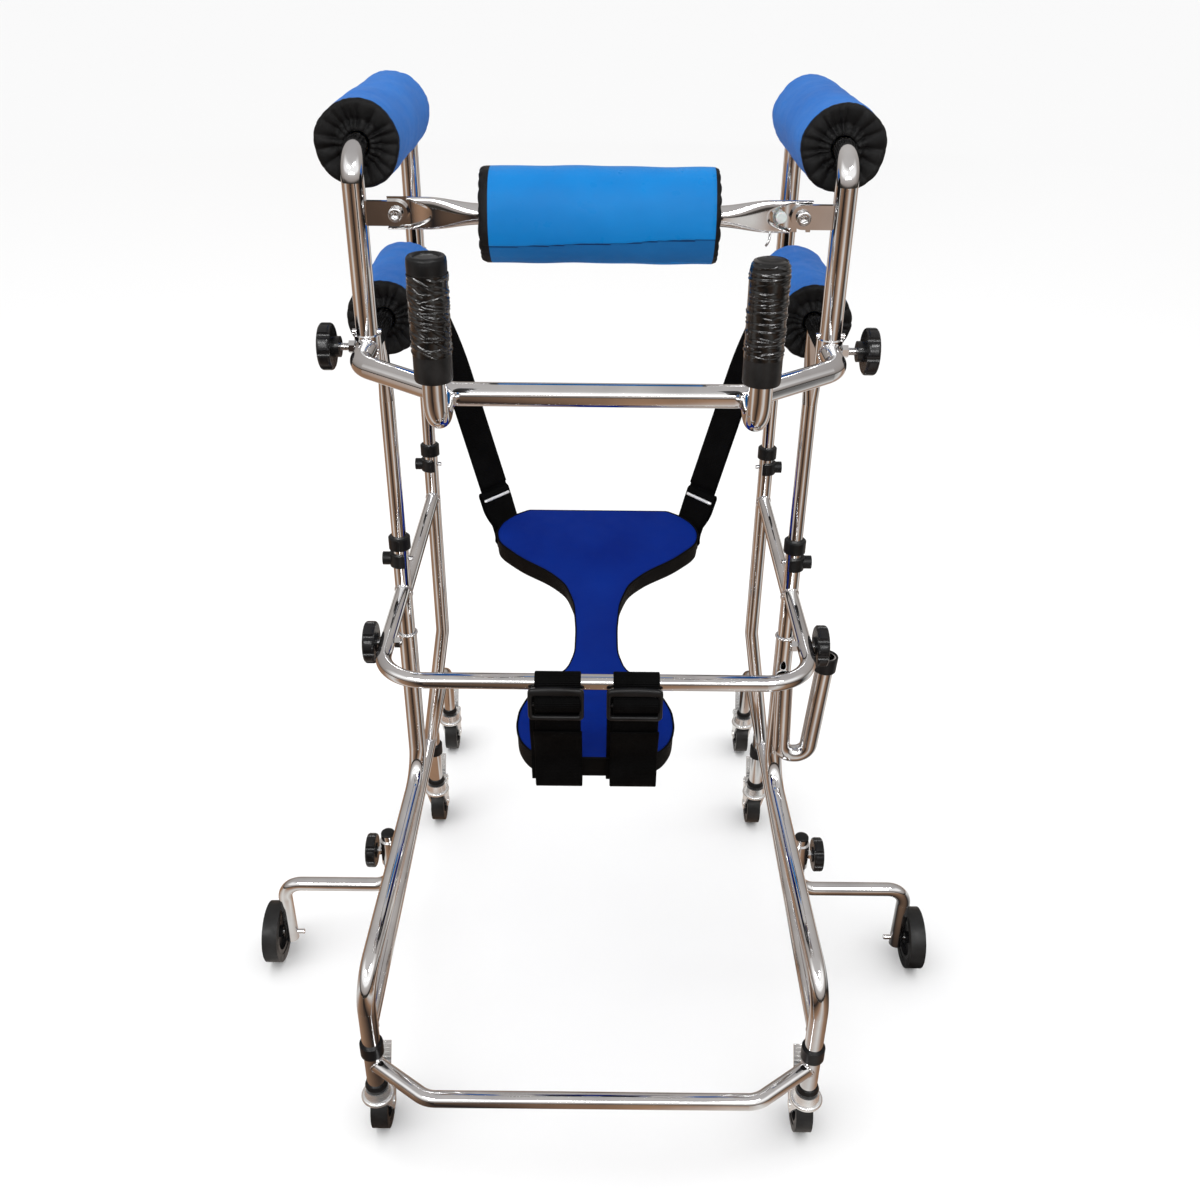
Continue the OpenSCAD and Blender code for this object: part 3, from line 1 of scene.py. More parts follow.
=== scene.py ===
# %% [markdown]
# # Dressing a gait trainer
# The frame is already built as exact solids: chrome tubes, casters, knobs and plain forms for the soft parts.
# This lesson loads it, gives every solid its finish, and then makes the soft parts again as sewn covers, webbing and
# foam. Everything is in metres, +Z is up, and the front of the trainer, with the upright handles, faces -Y.

# %% Load the frame
import math

import bmesh
import bpy
import numpy as np
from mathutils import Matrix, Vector


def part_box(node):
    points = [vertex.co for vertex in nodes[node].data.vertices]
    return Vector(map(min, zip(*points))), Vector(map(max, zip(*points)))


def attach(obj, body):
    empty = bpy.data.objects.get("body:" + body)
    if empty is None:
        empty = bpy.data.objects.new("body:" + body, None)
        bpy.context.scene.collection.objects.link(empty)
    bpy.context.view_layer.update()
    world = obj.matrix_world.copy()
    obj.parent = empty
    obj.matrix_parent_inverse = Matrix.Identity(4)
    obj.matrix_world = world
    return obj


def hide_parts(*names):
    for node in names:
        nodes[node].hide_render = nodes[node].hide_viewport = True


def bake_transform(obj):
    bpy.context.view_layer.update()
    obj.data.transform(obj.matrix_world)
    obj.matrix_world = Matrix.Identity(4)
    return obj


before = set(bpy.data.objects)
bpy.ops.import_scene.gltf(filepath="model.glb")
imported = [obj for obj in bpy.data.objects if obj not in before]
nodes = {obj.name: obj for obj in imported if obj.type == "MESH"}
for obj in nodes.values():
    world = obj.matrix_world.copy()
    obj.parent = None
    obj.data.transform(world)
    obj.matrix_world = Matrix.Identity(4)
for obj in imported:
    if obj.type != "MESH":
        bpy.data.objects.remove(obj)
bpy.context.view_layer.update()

# %% [markdown]
# ## The camera
# The photograph was taken standing in front of the trainer and looking down on it by about thirty degrees. A camera
# is placed by where it stands, how far it looks down and how wide its lens is; these three came from the level bars
# of the frame, which run together in the distance. The picture also leans by half a degree, so the camera rolls.

# %% Camera
EYE_PLACE = (0.0045, -1.508, 1.525)
LOOK_DOWN, LEAN = 30.5, 0.56
LENS, SENSOR = 35.1, 36
eye = bpy.data.objects.new("photo_camera", bpy.data.cameras.new("photo_camera"))
bpy.context.scene.collection.objects.link(eye)
eye.location = EYE_PLACE
eye.rotation_mode = "XYZ"
eye.rotation_euler = (math.radians(90 - LOOK_DOWN), 0, 0)
eye.rotation_euler.rotate_axis("Z", math.radians(LEAN))
eye.data.lens, eye.data.sensor_width = LENS, SENSOR
eye.data.clip_end = 60
bpy.context.scene.camera = eye
print("camera at", EYE_PLACE, "with a lens of", LENS, "mm")

# %% [markdown]
# ## The studio
# A pale floor carries the soft shadow. Polished tubes only look like metal when they have something to reflect, so a
# card that only reflections can see lies on the floor, with darker and lighter sectors, as a photographer lays cards
# around a chrome part. A dome, also for reflections only, is grey overhead, dark along the horizon and white behind the
# camera, which draws the long streaks on the level tubes. The light is three large soft panels and an even sky. Three
# narrow lamps show only as glints, as tube lamps on a ceiling would. The picture is shown with Blender's plain
# transform, because the default one would bleach the blue covers.

# %% Floor


def link(obj):
    bpy.context.scene.collection.objects.link(obj)
    return obj


def plain_mesh(name, verts, faces):
    mesh = bpy.data.meshes.new(name)
    mesh.from_pydata(verts, [], faces)
    return link(bpy.data.objects.new(name, mesh))


def grid_disc(name, radius, z, sectors, rings):
    verts = [(0, 0, z)]
    for k in range(1, rings + 1):
        for i in range(sectors):
            a = 2 * math.pi * i / sectors
            verts.append((radius * k / rings * math.cos(a), radius * k / rings * math.sin(a), z))
    faces = [(0, 1 + i, 1 + (i + 1) % sectors) for i in range(sectors)]
    for k in range(1, rings):
        a, b = 1 + (k - 1) * sectors, 1 + k * sectors
        faces += [(a + i, b + i, b + (i + 1) % sectors, a + (i + 1) % sectors) for i in range(sectors)]
    return plain_mesh(name, verts, faces)


def principled(name, metal=0.0, **constants):
    """A material with Blender's main shader; constants are set on the sockets of the same names."""
    paint = bpy.data.materials.new(name)
    paint.use_nodes = True
    shader = paint.node_tree.nodes["Principled BSDF"]
    shader.inputs["Metallic"].default_value = metal
    for socket, value in constants.items():
        shader.inputs[socket.replace("_", " ")].default_value = value
    return paint, paint.node_tree, shader


FLOOR_REACH, FLOOR_GREY = 45, (0.85, 0.85, 0.85, 1)
bpy.context.scene.view_settings.view_transform = "Standard"
floor = grid_disc("floor", FLOOR_REACH, -0.0005, 64, 6)
floor_paint, _, _ = principled("studio_floor", Base_Color=FLOOR_GREY, Roughness=0.9, Specular_IOR_Level=0.1)
floor.data.materials.append(floor_paint)
print("floor of", len(floor.data.polygons), "faces")

# %% Reflection card


def ramp(tree, fac, stops):
    """Colours along a value; stops are places with their colours."""
    node = tree.nodes.new("ShaderNodeValToRGB")
    while len(node.color_ramp.elements) < len(stops):
        node.color_ramp.elements.new(1.0)
    for element, (place, colour) in zip(node.color_ramp.elements, stops):
        element.position = place
        element.color = (*colour, 1)
    tree.links.new(fac, node.inputs["Fac"])
    return node.outputs["Color"]


def glow_paint(name, strength):
    """A material that only gives light; its colour is linked by the caller."""
    paint = bpy.data.materials.new(name)
    paint.use_nodes = True
    tree = paint.node_tree
    tree.nodes.remove(tree.nodes["Principled BSDF"])
    glow = tree.nodes.new("ShaderNodeEmission")
    glow.inputs["Strength"].default_value = strength
    tree.links.new(glow.outputs["Emission"], tree.nodes["Material Output"].inputs["Surface"])
    return paint, tree, glow.inputs["Color"]


def only_reflected(obj):
    for ray in ("camera", "diffuse", "shadow", "transmission", "volume_scatter"):
        setattr(obj, "visible_" + ray, False)


REFLECTION_REACH = 8
brown, pale, dark = (0.40, 0.24, 0.15), (0.85, 0.83, 0.8), (0.02, 0.018, 0.018)
sectors = [(0.0, brown), (0.06, pale), (0.1, brown), (0.2, dark), (0.27, brown), (0.33, pale), (0.37, brown),
           (0.46, dark), (0.53, pale), (0.58, brown), (0.68, pale), (0.71, dark), (0.79, brown), (0.85, pale),
           (0.88, brown), (1.0, brown)]
card = grid_disc("reflection_card", REFLECTION_REACH, 0.0, 72, 6)
card_paint, tree, card_colour = glow_paint("reflection_card", 0.9)
place = tree.nodes.new("ShaderNodeTexCoord")
sweep = tree.nodes.new("ShaderNodeTexGradient")
sweep.gradient_type = "RADIAL"
tree.links.new(place.outputs["Object"], sweep.inputs["Vector"])
tree.links.new(ramp(tree, sweep.outputs["Fac"], sectors), card_colour)
card.data.materials.append(card_paint)
only_reflected(card)
print("card with", len(sectors), "sectors")

# %% Reflection dome


def grid_dome(name, radius, sectors, rings):
    verts, faces = [], []
    for k in range(rings):
        lift = 0.5 * math.pi * (k + 0.02) / rings
        wide, high = radius * math.cos(lift), radius * math.sin(lift)
        here, above = k * sectors, (k + 1) * sectors
        for i in range(sectors):
            a, j = 2 * math.pi * i / sectors, (i + 1) % sectors
            verts.append((wide * math.cos(a), wide * math.sin(a), high))
            top = (above + j, above + i) if k < rings - 1 else (above,)
            faces.append((here + i, here + j, *top))
    verts.append((0, 0, radius))
    return plain_mesh(name, verts, faces)


def from_to(tree, value, low, high):
    """A value brought from the range low to high to the range 0 to 1."""
    node = tree.nodes.new("ShaderNodeMapRange")
    node.inputs["From Min"].default_value = low
    node.inputs["From Max"].default_value = high
    tree.links.new(value, node.inputs["Value"])
    return node.outputs["Result"]


dome = grid_dome("reflection_dome", REFLECTION_REACH, 64, 24)
dome_paint, tree, dome_colour = glow_paint("reflection_dome", 1.15)
place = tree.nodes.new("ShaderNodeTexCoord")
split = tree.nodes.new("ShaderNodeSeparateXYZ")
tree.links.new(place.outputs["Object"], split.inputs["Vector"])
lift = from_to(tree, split.outputs["Z"], 0, REFLECTION_REACH)
front = from_to(tree, split.outputs["Y"], 0.1 * REFLECTION_REACH, -0.3 * REFLECTION_REACH)
night, dusk, ceiling, white = (0.03, 0.025, 0.02), (0.04, 0.035, 0.03), (0.46, 0.44, 0.43), (1, 0.99, 0.98)
behind = ramp(tree, lift, [(0.0, night), (0.05, dusk), (0.1, (0.24, 0.21, 0.19)), (0.3, (0.36, 0.33, 0.31)),
                           (1.0, ceiling)])
before = ramp(tree, lift, [(0.0, night), (0.1, dusk), (0.15, (0.34, 0.3, 0.28)), (0.34, (0.5, 0.47, 0.45)),
                           (0.42, white), (0.66, white), (0.78, (0.5, 0.48, 0.47)), (1.0, ceiling)])
both = tree.nodes.new("ShaderNodeMix")
both.data_type = "RGBA"
tree.links.new(front, both.inputs["Factor"])
tree.links.new(behind, both.inputs["A"])
tree.links.new(before, both.inputs["B"])
tree.links.new(both.outputs["Result"], dome_colour)
dome.data.materials.append(dome_paint)
only_reflected(dome)
print("dome of", len(dome.data.polygons), "faces")

# %% Sky and soft panels
sky = bpy.data.worlds.new("studio_sky")
sky.use_nodes = True
tree = sky.node_tree
place = tree.nodes.new("ShaderNodeTexCoord")
height = tree.nodes.new("ShaderNodeSeparateXYZ")
tree.links.new(place.outputs["Generated"], height.inputs["Vector"])
tree.links.new(ramp(tree, height.outputs["Z"], [(0.0, (0.35, 0.35, 0.36)), (0.12, (0.55, 0.55, 0.56)),
                                                (0.35, (0.85, 0.85, 0.85)), (0.7, (1, 1, 1))]),
               tree.nodes["Background"].inputs["Color"])
tree.nodes["Background"].inputs["Strength"].default_value = 1.2
bpy.context.scene.world = sky


def soft_panel(name, place, aim, size, watts, mirrored=False):
    """A lamp that either lights the surfaces or, when mirrored, only shows in the shiny ones."""
    lamp = bpy.data.lights.new(name, "AREA")
    lamp.shape = "RECTANGLE"
    lamp.size, lamp.size_y = size
    lamp.energy = watts
    panel = link(bpy.data.objects.new(name, lamp))
    panel.visible_glossy, panel.visible_diffuse = mirrored, not mirrored
    panel.location = place
    panel.rotation_euler = (Vector(aim) - Vector(place)).to_track_quat("-Z", "Y").to_euler()


soft_panel("overhead_panel", (-0.6, -0.6, 3.4), (0, 0, 0.6), (2.6, 2.2), 28)
soft_panel("left_panel", (-2.8, -1.4, 2.0), (0, 0, 0.8), (1.2, 2.4), 15)
soft_panel("right_panel", (3.0, 0.4, 2.2), (0, 0, 0.7), (0.9, 2.2), 10)
soft_panel("left_tube_lamp", (-1.5, -2.6, 3.0), (0, -0.3, 1.0), (1.6, 0.25), 34, True)
soft_panel("right_tube_lamp", (1.3, -2.2, 3.3), (0, -0.3, 1.0), (1.6, 0.25), 34, True)
soft_panel("front_tube_lamp", (0, -3.0, 2.2), (0, -0.1, 1.2), (3.0, 0.2), 26, True)
print("studio: sky, three panels and three tube lamps")

# %% [markdown]
# ## Finishes of metal and plastic
# A finish is a small graph of nodes: noise at the scale of the real surface steers the colour and the roughness, and
# a fine bump breaks up the highlights. Chrome is almost a mirror with faint smears, zinc is bright but cloudy, moulded
# plastic has a fine grain and rubber is softer still. The constant values sit on the shader itself.

# %% Helpers: noise, range and bump


def noise_of(tree, scale, detail=3.0):
    place = tree.nodes.new("ShaderNodeTexCoord")
    grain = tree.nodes.new("ShaderNodeTexNoise")
    grain.inputs["Scale"].default_value = scale
    grain.inputs["Detail"].default_value = detail
    tree.links.new(place.outputs["Object"], grain.inputs["Vector"])
    return grain.outputs["Fac"]


def spread(tree, fac, low, high):
    """Noise, which mostly lies between 0.3 and 0.7, spread from low to high."""
    node = tree.nodes.new("ShaderNodeMapRange")
    for socket, value in (("From Min", 0.3), ("From Max", 0.7), ("To Min", low), ("To Max", high)):
        node.inputs[socket].default_value = value
    tree.links.new(fac, node.inputs["Value"])
    return node.outputs["Result"]


def bump(tree, shader, height, distance, strength=1.0):
    node = tree.nodes.new("ShaderNodeBump")
    node.inputs["Strength"].default_value = strength
    node.inputs["Distance"].default_value = distance
    tree.links.new(height, node.inputs["Height"])
    tree.links.new(node.outputs["Normal"], shader.inputs["Normal"])
    return node


print("noise, range and bump helpers ready")

# %% Finishes for hard parts


def hard_finish(name, dark, light, rough, metal=0.0, cloud=30, grain=900, grain_depth=0.00001, **constants):
    """Cloudy colour and roughness over a fine grain."""
    paint, tree, shader = principled(name, metal, **constants)
    tree.links.new(ramp(tree, noise_of(tree, cloud), [(0.3, dark), (0.7, light)]), shader.inputs["Base Color"])
    tree.links.new(spread(tree, noise_of(tree, cloud * 2.3, 5), *rough), shader.inputs["Roughness"])
    bump(tree, shader, noise_of(tree, grain), grain_depth)
    return paint


chrome_plate = hard_finish("chrome_plate", (0.66, 0.66, 0.67), (0.86, 0.86, 0.86), (0.03, 0.1), 1.0, 14, 60, 0.00003)
zinc_plate = hard_finish("zinc_plate", (0.8, 0.81, 0.81), (0.95, 0.95, 0.94), (0.13, 0.27), 0.85, 60, 500, 0.00001)
moulded_black = hard_finish("moulded_black", (0.003, 0.003, 0.0033), (0.008, 0.008, 0.0085), (0.3, 0.46), 0.0, 40, 1600,
                            0.00004, Specular_IOR_Level=0.25)
knob_black = hard_finish("knob_black", (0.004, 0.004, 0.0045), (0.01, 0.01, 0.011), (0.16, 0.3), 0.0, 50, 1200,
                         0.00002, Specular_IOR_Level=0.35)
tyre_rubber = hard_finish("tyre_rubber", (0.006, 0.006, 0.006), (0.016, 0.016, 0.016), (0.35, 0.6), 0.0, 35, 900,
                          0.00006, Specular_IOR_Level=0.3)
hub_plastic = hard_finish("hub_plastic", (0.005, 0.005, 0.0055), (0.014, 0.014, 0.015), (0.22, 0.4), 0.0, 40, 1200,
                          0.00002, Specular_IOR_Level=0.35)
milky_plastic = hard_finish("milky_plastic", (0.55, 0.56, 0.56), (0.72, 0.73, 0.72), (0.25, 0.4), 0.0, 90, 1500,
                            0.00002, Subsurface_Weight=0.2)
nickel_wire = hard_finish("nickel_wire", (0.82, 0.82, 0.82), (0.95, 0.95, 0.95), (0.25, 0.4), 0.35, 120, 1500, 0.00002)
bolt_steel = hard_finish("bolt_steel", (0.42, 0.42, 0.43), (0.68, 0.68, 0.68), (0.16, 0.36), 1.0, 120, 1500, 0.00002)
print("materials so far:", len(bpy.data.materials))

# %% [markdown]
# ## Dressing the solids
# Most solids keep their shape and only need a finish. Some hold two materials in one node, such as a knob with its
# steel bolt. Their pieces don't touch, so they are told apart by walking over shared corners: each island of faces
# gets its own slot. Corners are compared by place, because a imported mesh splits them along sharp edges.

# %% Helper: islands of faces


def islands(mesh):
    """Number of the island that each face belongs to, and the corners' places."""
    places = np.array([v.co for v in mesh.vertices])
    _, same = np.unique(np.round(places, 6), axis=0, return_inverse=True)
    same = same.ravel()
    parent = list(range(same.max() + 1))

    def root(i):
        while parent[i] != i:
            parent[i] = parent[parent[i]]
            i = parent[i]
        return i

    for face in mesh.polygons:
        first = root(same[face.vertices[0]])
        for v in face.vertices[1:]:
            parent[root(same[v])] = first
    return [root(same[face.vertices[0]]) for face in mesh.polygons], places


print("islands in one knob:", len(set(islands(nodes["left_seat_knob"].data)[0])))

# %% Give each solid its finish


def dress(node, *paints):
    obj = nodes[node]
    obj.data.materials.clear()
    for paint in paints:
        obj.data.materials.append(paint)
    for face in obj.data.polygons:
        face.material_index = 0


def dress_islands(node, first, second, second_if):
    """Two finishes in one node: second_if(low, high, size) picks the islands of the second one."""
    dress(node, first, second)
    mesh = nodes[node].data
    owner, places = islands(mesh)
    for island in set(owner):
        faces = [f for f, o in zip(mesh.polygons, owner) if o == island]
        corners = places[[v for f in faces for v in f.vertices]]
        low, high = corners.min(0), corners.max(0)
        if second_if(low, high, high - low):
            for face in faces:
                face.material_index = 1


chrome_nodes = [n for n in nodes if any(word in n for word in (
    "_leg", "_rail", "braces", "bottom_bar", "seat_bar", "holder", "handlebar", "posts", "sleeves", "_arch",
    "outrigger_arm"))]
for node in chrome_nodes:
    dress_islands(node, chrome_plate, bolt_steel, lambda low, high, size: size.max() < 0.02)
dress("chest_bar", chrome_plate)
dress("chest_latch_button", milky_plastic)
dress("plastic_collars", moulded_black)
for side in ("left", "right"):
    for knob in ("armpit", "seat", "outrigger"):
        dress_islands(f"{side}_{knob}_knob", knob_black, bolt_steel, lambda low, high, size: size[1] < 0.02)
    for clip in ("near", "far"):
        dress_islands(f"{clip}_{side}_pin_clip", moulded_black, bolt_steel, lambda low, high, size: size[1] < 0.01)
    dress_islands(f"{side}_outrigger_wheel", tyre_rubber, hub_plastic, lambda low, high, size: size[1] < 0.09)
    for caster in ("front", "mid", "rear"):
        dress(f"{caster}_{side}_fork", zinc_plate)
        dress(f"{caster}_{side}_pedal", zinc_plate)
        dress_islands(f"{caster}_{side}_wheel", tyre_rubber, hub_plastic, lambda low, high, size: size[1] < 0.068)
print("chrome nodes:", len(chrome_nodes))

# %% [markdown]
# ## Finishes of cloth
# The covers are coated nylon: a fine plain weave with a soft sheen. The weave is two crossed sine waves in a flat
# map that is measured in metres, so its threads stay half a millimetre wide wherever the cloth goes. Webbing is the
# same idea with ribs across the band.

# %% Helper: threads of a weave


def threads(tree, pitch_u, pitch_v, mode="plain"):
    """Height of a weave, from a flat map in metres."""
    flat = tree.nodes.new("ShaderNodeUVMap")
    split = tree.nodes.new("ShaderNodeSeparateXYZ")
    tree.links.new(flat.outputs["UV"], split.inputs["Vector"])
    waves = []
    for axis, pitch in (("X", pitch_u), ("Y", pitch_v)):
        turn = tree.nodes.new("ShaderNodeMath")
        turn.operation = "MULTIPLY"
        turn.inputs[1].default_value = 2 * math.pi / pitch
        tree.links.new(split.outputs[axis], turn.inputs[0])
        wave = tree.nodes.new("ShaderNodeMath")
        wave.operation = "SINE"
        tree.links.new(turn.outputs[0], wave.inputs[0])
        waves.append(wave.outputs[0])
    cross = tree.nodes.new("ShaderNodeMath")
    cross.operation = "MULTIPLY" if mode == "plain" else "ADD"
    tree.links.new(waves[0], cross.inputs[0])
    tree.links.new(waves[1], cross.inputs[1])
    return cross.outputs[0]


print("weave helper ready")

# %% Finishes for cloth


def cloth_finish(name, dark, light, rough, pitch=(0.0006, 0.0006), depth=0.00006, mode="plain", cloud=9, **constants):
    """Cloudy colour and roughness, with soft dents below the weave."""
    paint, tree, shader = principled(name, 0.0, **constants)
    tree.links.new(ramp(tree, noise_of(tree, cloud, 4), [(0.32, dark), (0.68, light)]), shader.inputs["Base Color"])
    tree.links.new(spread(tree, noise_of(tree, 55, 4), *rough), shader.inputs["Roughness"])
    soft = bump(tree, shader, noise_of(tree, 70, 3), 0.0005, 0.5)
    weave = bump(tree, shader, threads(tree, *pitch, mode), depth, 0.8)
    tree.links.new(soft.outputs["Normal"], weave.inputs["Normal"])
    return paint


sky_nylon = cloth_finish("sky_nylon", (0.007, 0.12, 0.44), (0.013, 0.155, 0.52), (0.42, 0.6), Sheen_Weight=0.03,
                         Sheen_Roughness=0.4, Specular_IOR_Level=0.15)
chest_nylon = cloth_finish("chest_nylon", (0.0005, 0.16, 0.48), (0.001, 0.2, 0.56), (0.26, 0.36), Sheen_Weight=0.01,
                           Sheen_Roughness=0.4, Specular_IOR_Level=0.12)
# Painted shade: the chest underlay is a darker blue, partly a darker cloth and partly painted shade under the flap.
chest_underlay_painted_shade = cloth_finish("chest_underlay_painted_shade", (0.0008, 0.1, 0.31), (0.0025, 0.13, 0.38), (0.45, 0.62),
                              Specular_IOR_Level=0.15)
# Painted shadow: the near-black chest strip is a painted shadow line along the flap's free edge.
chest_flap_painted_shadow = cloth_finish("chest_flap_painted_shadow", (0.0005, 0.02, 0.09), (0.001, 0.03, 0.12), (0.5, 0.65), Specular_IOR_Level=0.1)
black_nylon = cloth_finish("black_nylon", (0.0015, 0.0015, 0.0017), (0.0045, 0.0045, 0.005), (0.4, 0.58),
                           Specular_IOR_Level=0.2)
gusset_nylon = cloth_finish("gusset_nylon", (0.0008, 0.0008, 0.0009), (0.0025, 0.0025, 0.0027), (0.5, 0.66),
                            Specular_IOR_Level=0.07)
royal_nylon = cloth_finish("royal_nylon", (0.0002, 0.013, 0.165), (0.0006, 0.02, 0.21), (0.55, 0.72),
                           Specular_IOR_Level=0.05)
webbing_black = cloth_finish("webbing_black", (0.0005, 0.0005, 0.0006), (0.0018, 0.0018, 0.002), (0.55, 0.72),
                             (0.0016, 0.0024), 0.00022, "ribs", 30, Specular_IOR_Level=0.05)
print("cloth finishes ready")

# %% [markdown]
# ## Making meshes from rings
# A tube, a roll and a strap are all rings of points joined to the next ring. One helper joins them, closes the ends
# when asked, and lays the flat map: along a ring it measures the way round, and from ring to ring the way along.
# Last, all faces are turned outward, so that light meets a proper closed skin.

# %% Helper: skin over rings


def face_out(mesh):
    work = bmesh.new()
    work.from_mesh(mesh)
    bmesh.ops.recalc_face_normals(work, faces=work.faces)
    work.to_mesh(mesh)
    work.free()


def sewn_mesh(name, verts, faces, flat, paints, finish):
    """A smooth mesh with its flat map and one finish for each face, turned outward."""
    mesh = bpy.data.meshes.new(name)
    mesh.from_pydata([tuple(v) for v in verts], [], faces)
    layer = mesh.uv_layers.new(name="UVMap")
    layer.data.foreach_set("uv", np.asarray(flat, np.float32).ravel())
    for paint in paints:
        mesh.materials.append(paint)
    mesh.polygons.foreach_set("material_index", finish)
    mesh.polygons.foreach_set("use_smooth", [True] * len(faces))
    face_out(mesh)
    return mesh


def skin(name, rings, paints, caps=False, paint_of=None, loop=False):
    """A mesh over rings of points; paint_of(k, i) is the finish of the face after ring k, point i."""
    rings = np.asarray(rings, float)
    count, size = rings.shape[:2]
    verts = rings.reshape(-1, 3)
    step = np.roll(rings, -1, axis=1) - rings
    around = np.concatenate([np.zeros((count, 1)), np.cumsum(np.linalg.norm(step, axis=2), axis=1)], axis=1)
    way = np.linalg.norm(np.diff(rings, axis=0), axis=2).mean(1)
    along = np.concatenate([[0], np.cumsum(way)])
    faces, flat, finish = [], [], []
    for k in range(count if loop else count - 1):
        m = (k + 1) % count
        near, far = along[k], along[k + 1] if k + 1 < count else along[k] + 0.005
        for i in range(size):
            j = (i + 1) % size
            faces.append((k * size + i, k * size + j, m * size + j, m * size + i))
            flat += [(around[k, i], near), (around[k, i + 1], near), (around[m, i + 1], far), (around[m, i], far)]
            finish.append(paint_of(k, i) if paint_of else 0)
    if caps:
        for k, turn in ((0, -1), (count - 1, 1)):
            faces.append(tuple(k * size + i for i in range(size))[::turn])
            flat += [tuple(p) for p in verts[list(faces[-1])][:, :2]]
            finish.append(0)
    return link(bpy.data.objects.new(name, sewn_mesh(name, verts, faces, flat, paints, finish)))


print("ring helper ready")

# %% [markdown]
# ## The padded rolls
# Each roll is a foam tube in a nylon sleeve. Black cloth is sewn to both rims and gathered with elastic round the
# chrome tube, so it falls into pleats that run to the middle. A lathe profile gives the barrel and the dished ends;
# the pleats are folds whose depth grows towards the elastic. A lathe is chosen over a simulation here, because
# the gathers come from sewing, which is easier to draw than to simulate. The chest roll's sleeve closes with a flap
# that runs a little askew along the lower front, proud of the layer below it. That layer is painted darker, partly as
# a darker cloth and partly as painted shade, and a thin strip along the flap's free edge is a painted shadow line.

# %% Helper: pleats and profile of a roll
TURN, UNDERLAY_SHADE_TURN = 192, 0.75
END_PLEATS, RIM_TUCKS = 19, 26


def pleat_folds(seed, count):
    """Fold height from 0 to 1 at each angle round a roll, with uneven pleats."""
    draw = np.random.default_rng(seed)
    edges = np.cumsum(draw.uniform(0.55, 1.45, count))
    edges = np.concatenate([[0], edges]) / edges[-1] * TURN
    tall = draw.uniform(0.45, 1.0, count)
    at = np.arange(TURN)
    which = np.clip(np.searchsorted(edges, at, "right") - 1, 0, count - 1)
    share = (at - edges[which]) / (edges[which + 1] - edges[which])
    return tall[which] * np.sin(np.pi * share) ** 0.7


def roll_profile(radius, half, bore):
    """Rings from the elastic, over the rim and to the middle: radius, place, pleat depth, inward pull."""
    face = half - 0.004
    return [
        (bore, face - 0.006, 0.0005, 0.0), (bore + 0.0015, face - 0.001, 0.0015, 0.0),
        (bore + 0.004, face + 0.0015, 0.003, 0.0), (bore + 0.008, face - 0.0005, 0.0045, 0.0),
        (0.38 * radius + 0.006, face - 0.0035, 0.0055, 0.0), (0.5 * radius + 0.003, face - 0.0035, 0.005, 0.0),
        (0.62 * radius, face - 0.0015, 0.0042, 0.0), (0.74 * radius, face + 0.0002, 0.0033, 0.0),
        (0.84 * radius, face + 0.0012, 0.0026, 0.0), (0.92 * radius, face + 0.001, 0.0018, 0.0004),
        (0.97 * radius, face - 0.0004, 0.0012, 0.0008), (0.99 * radius, face - 0.003, 0.0008, 0.0011),
    ]


print("pleats at each end of a roll:", END_PLEATS)

# %% Helper: a padded roll


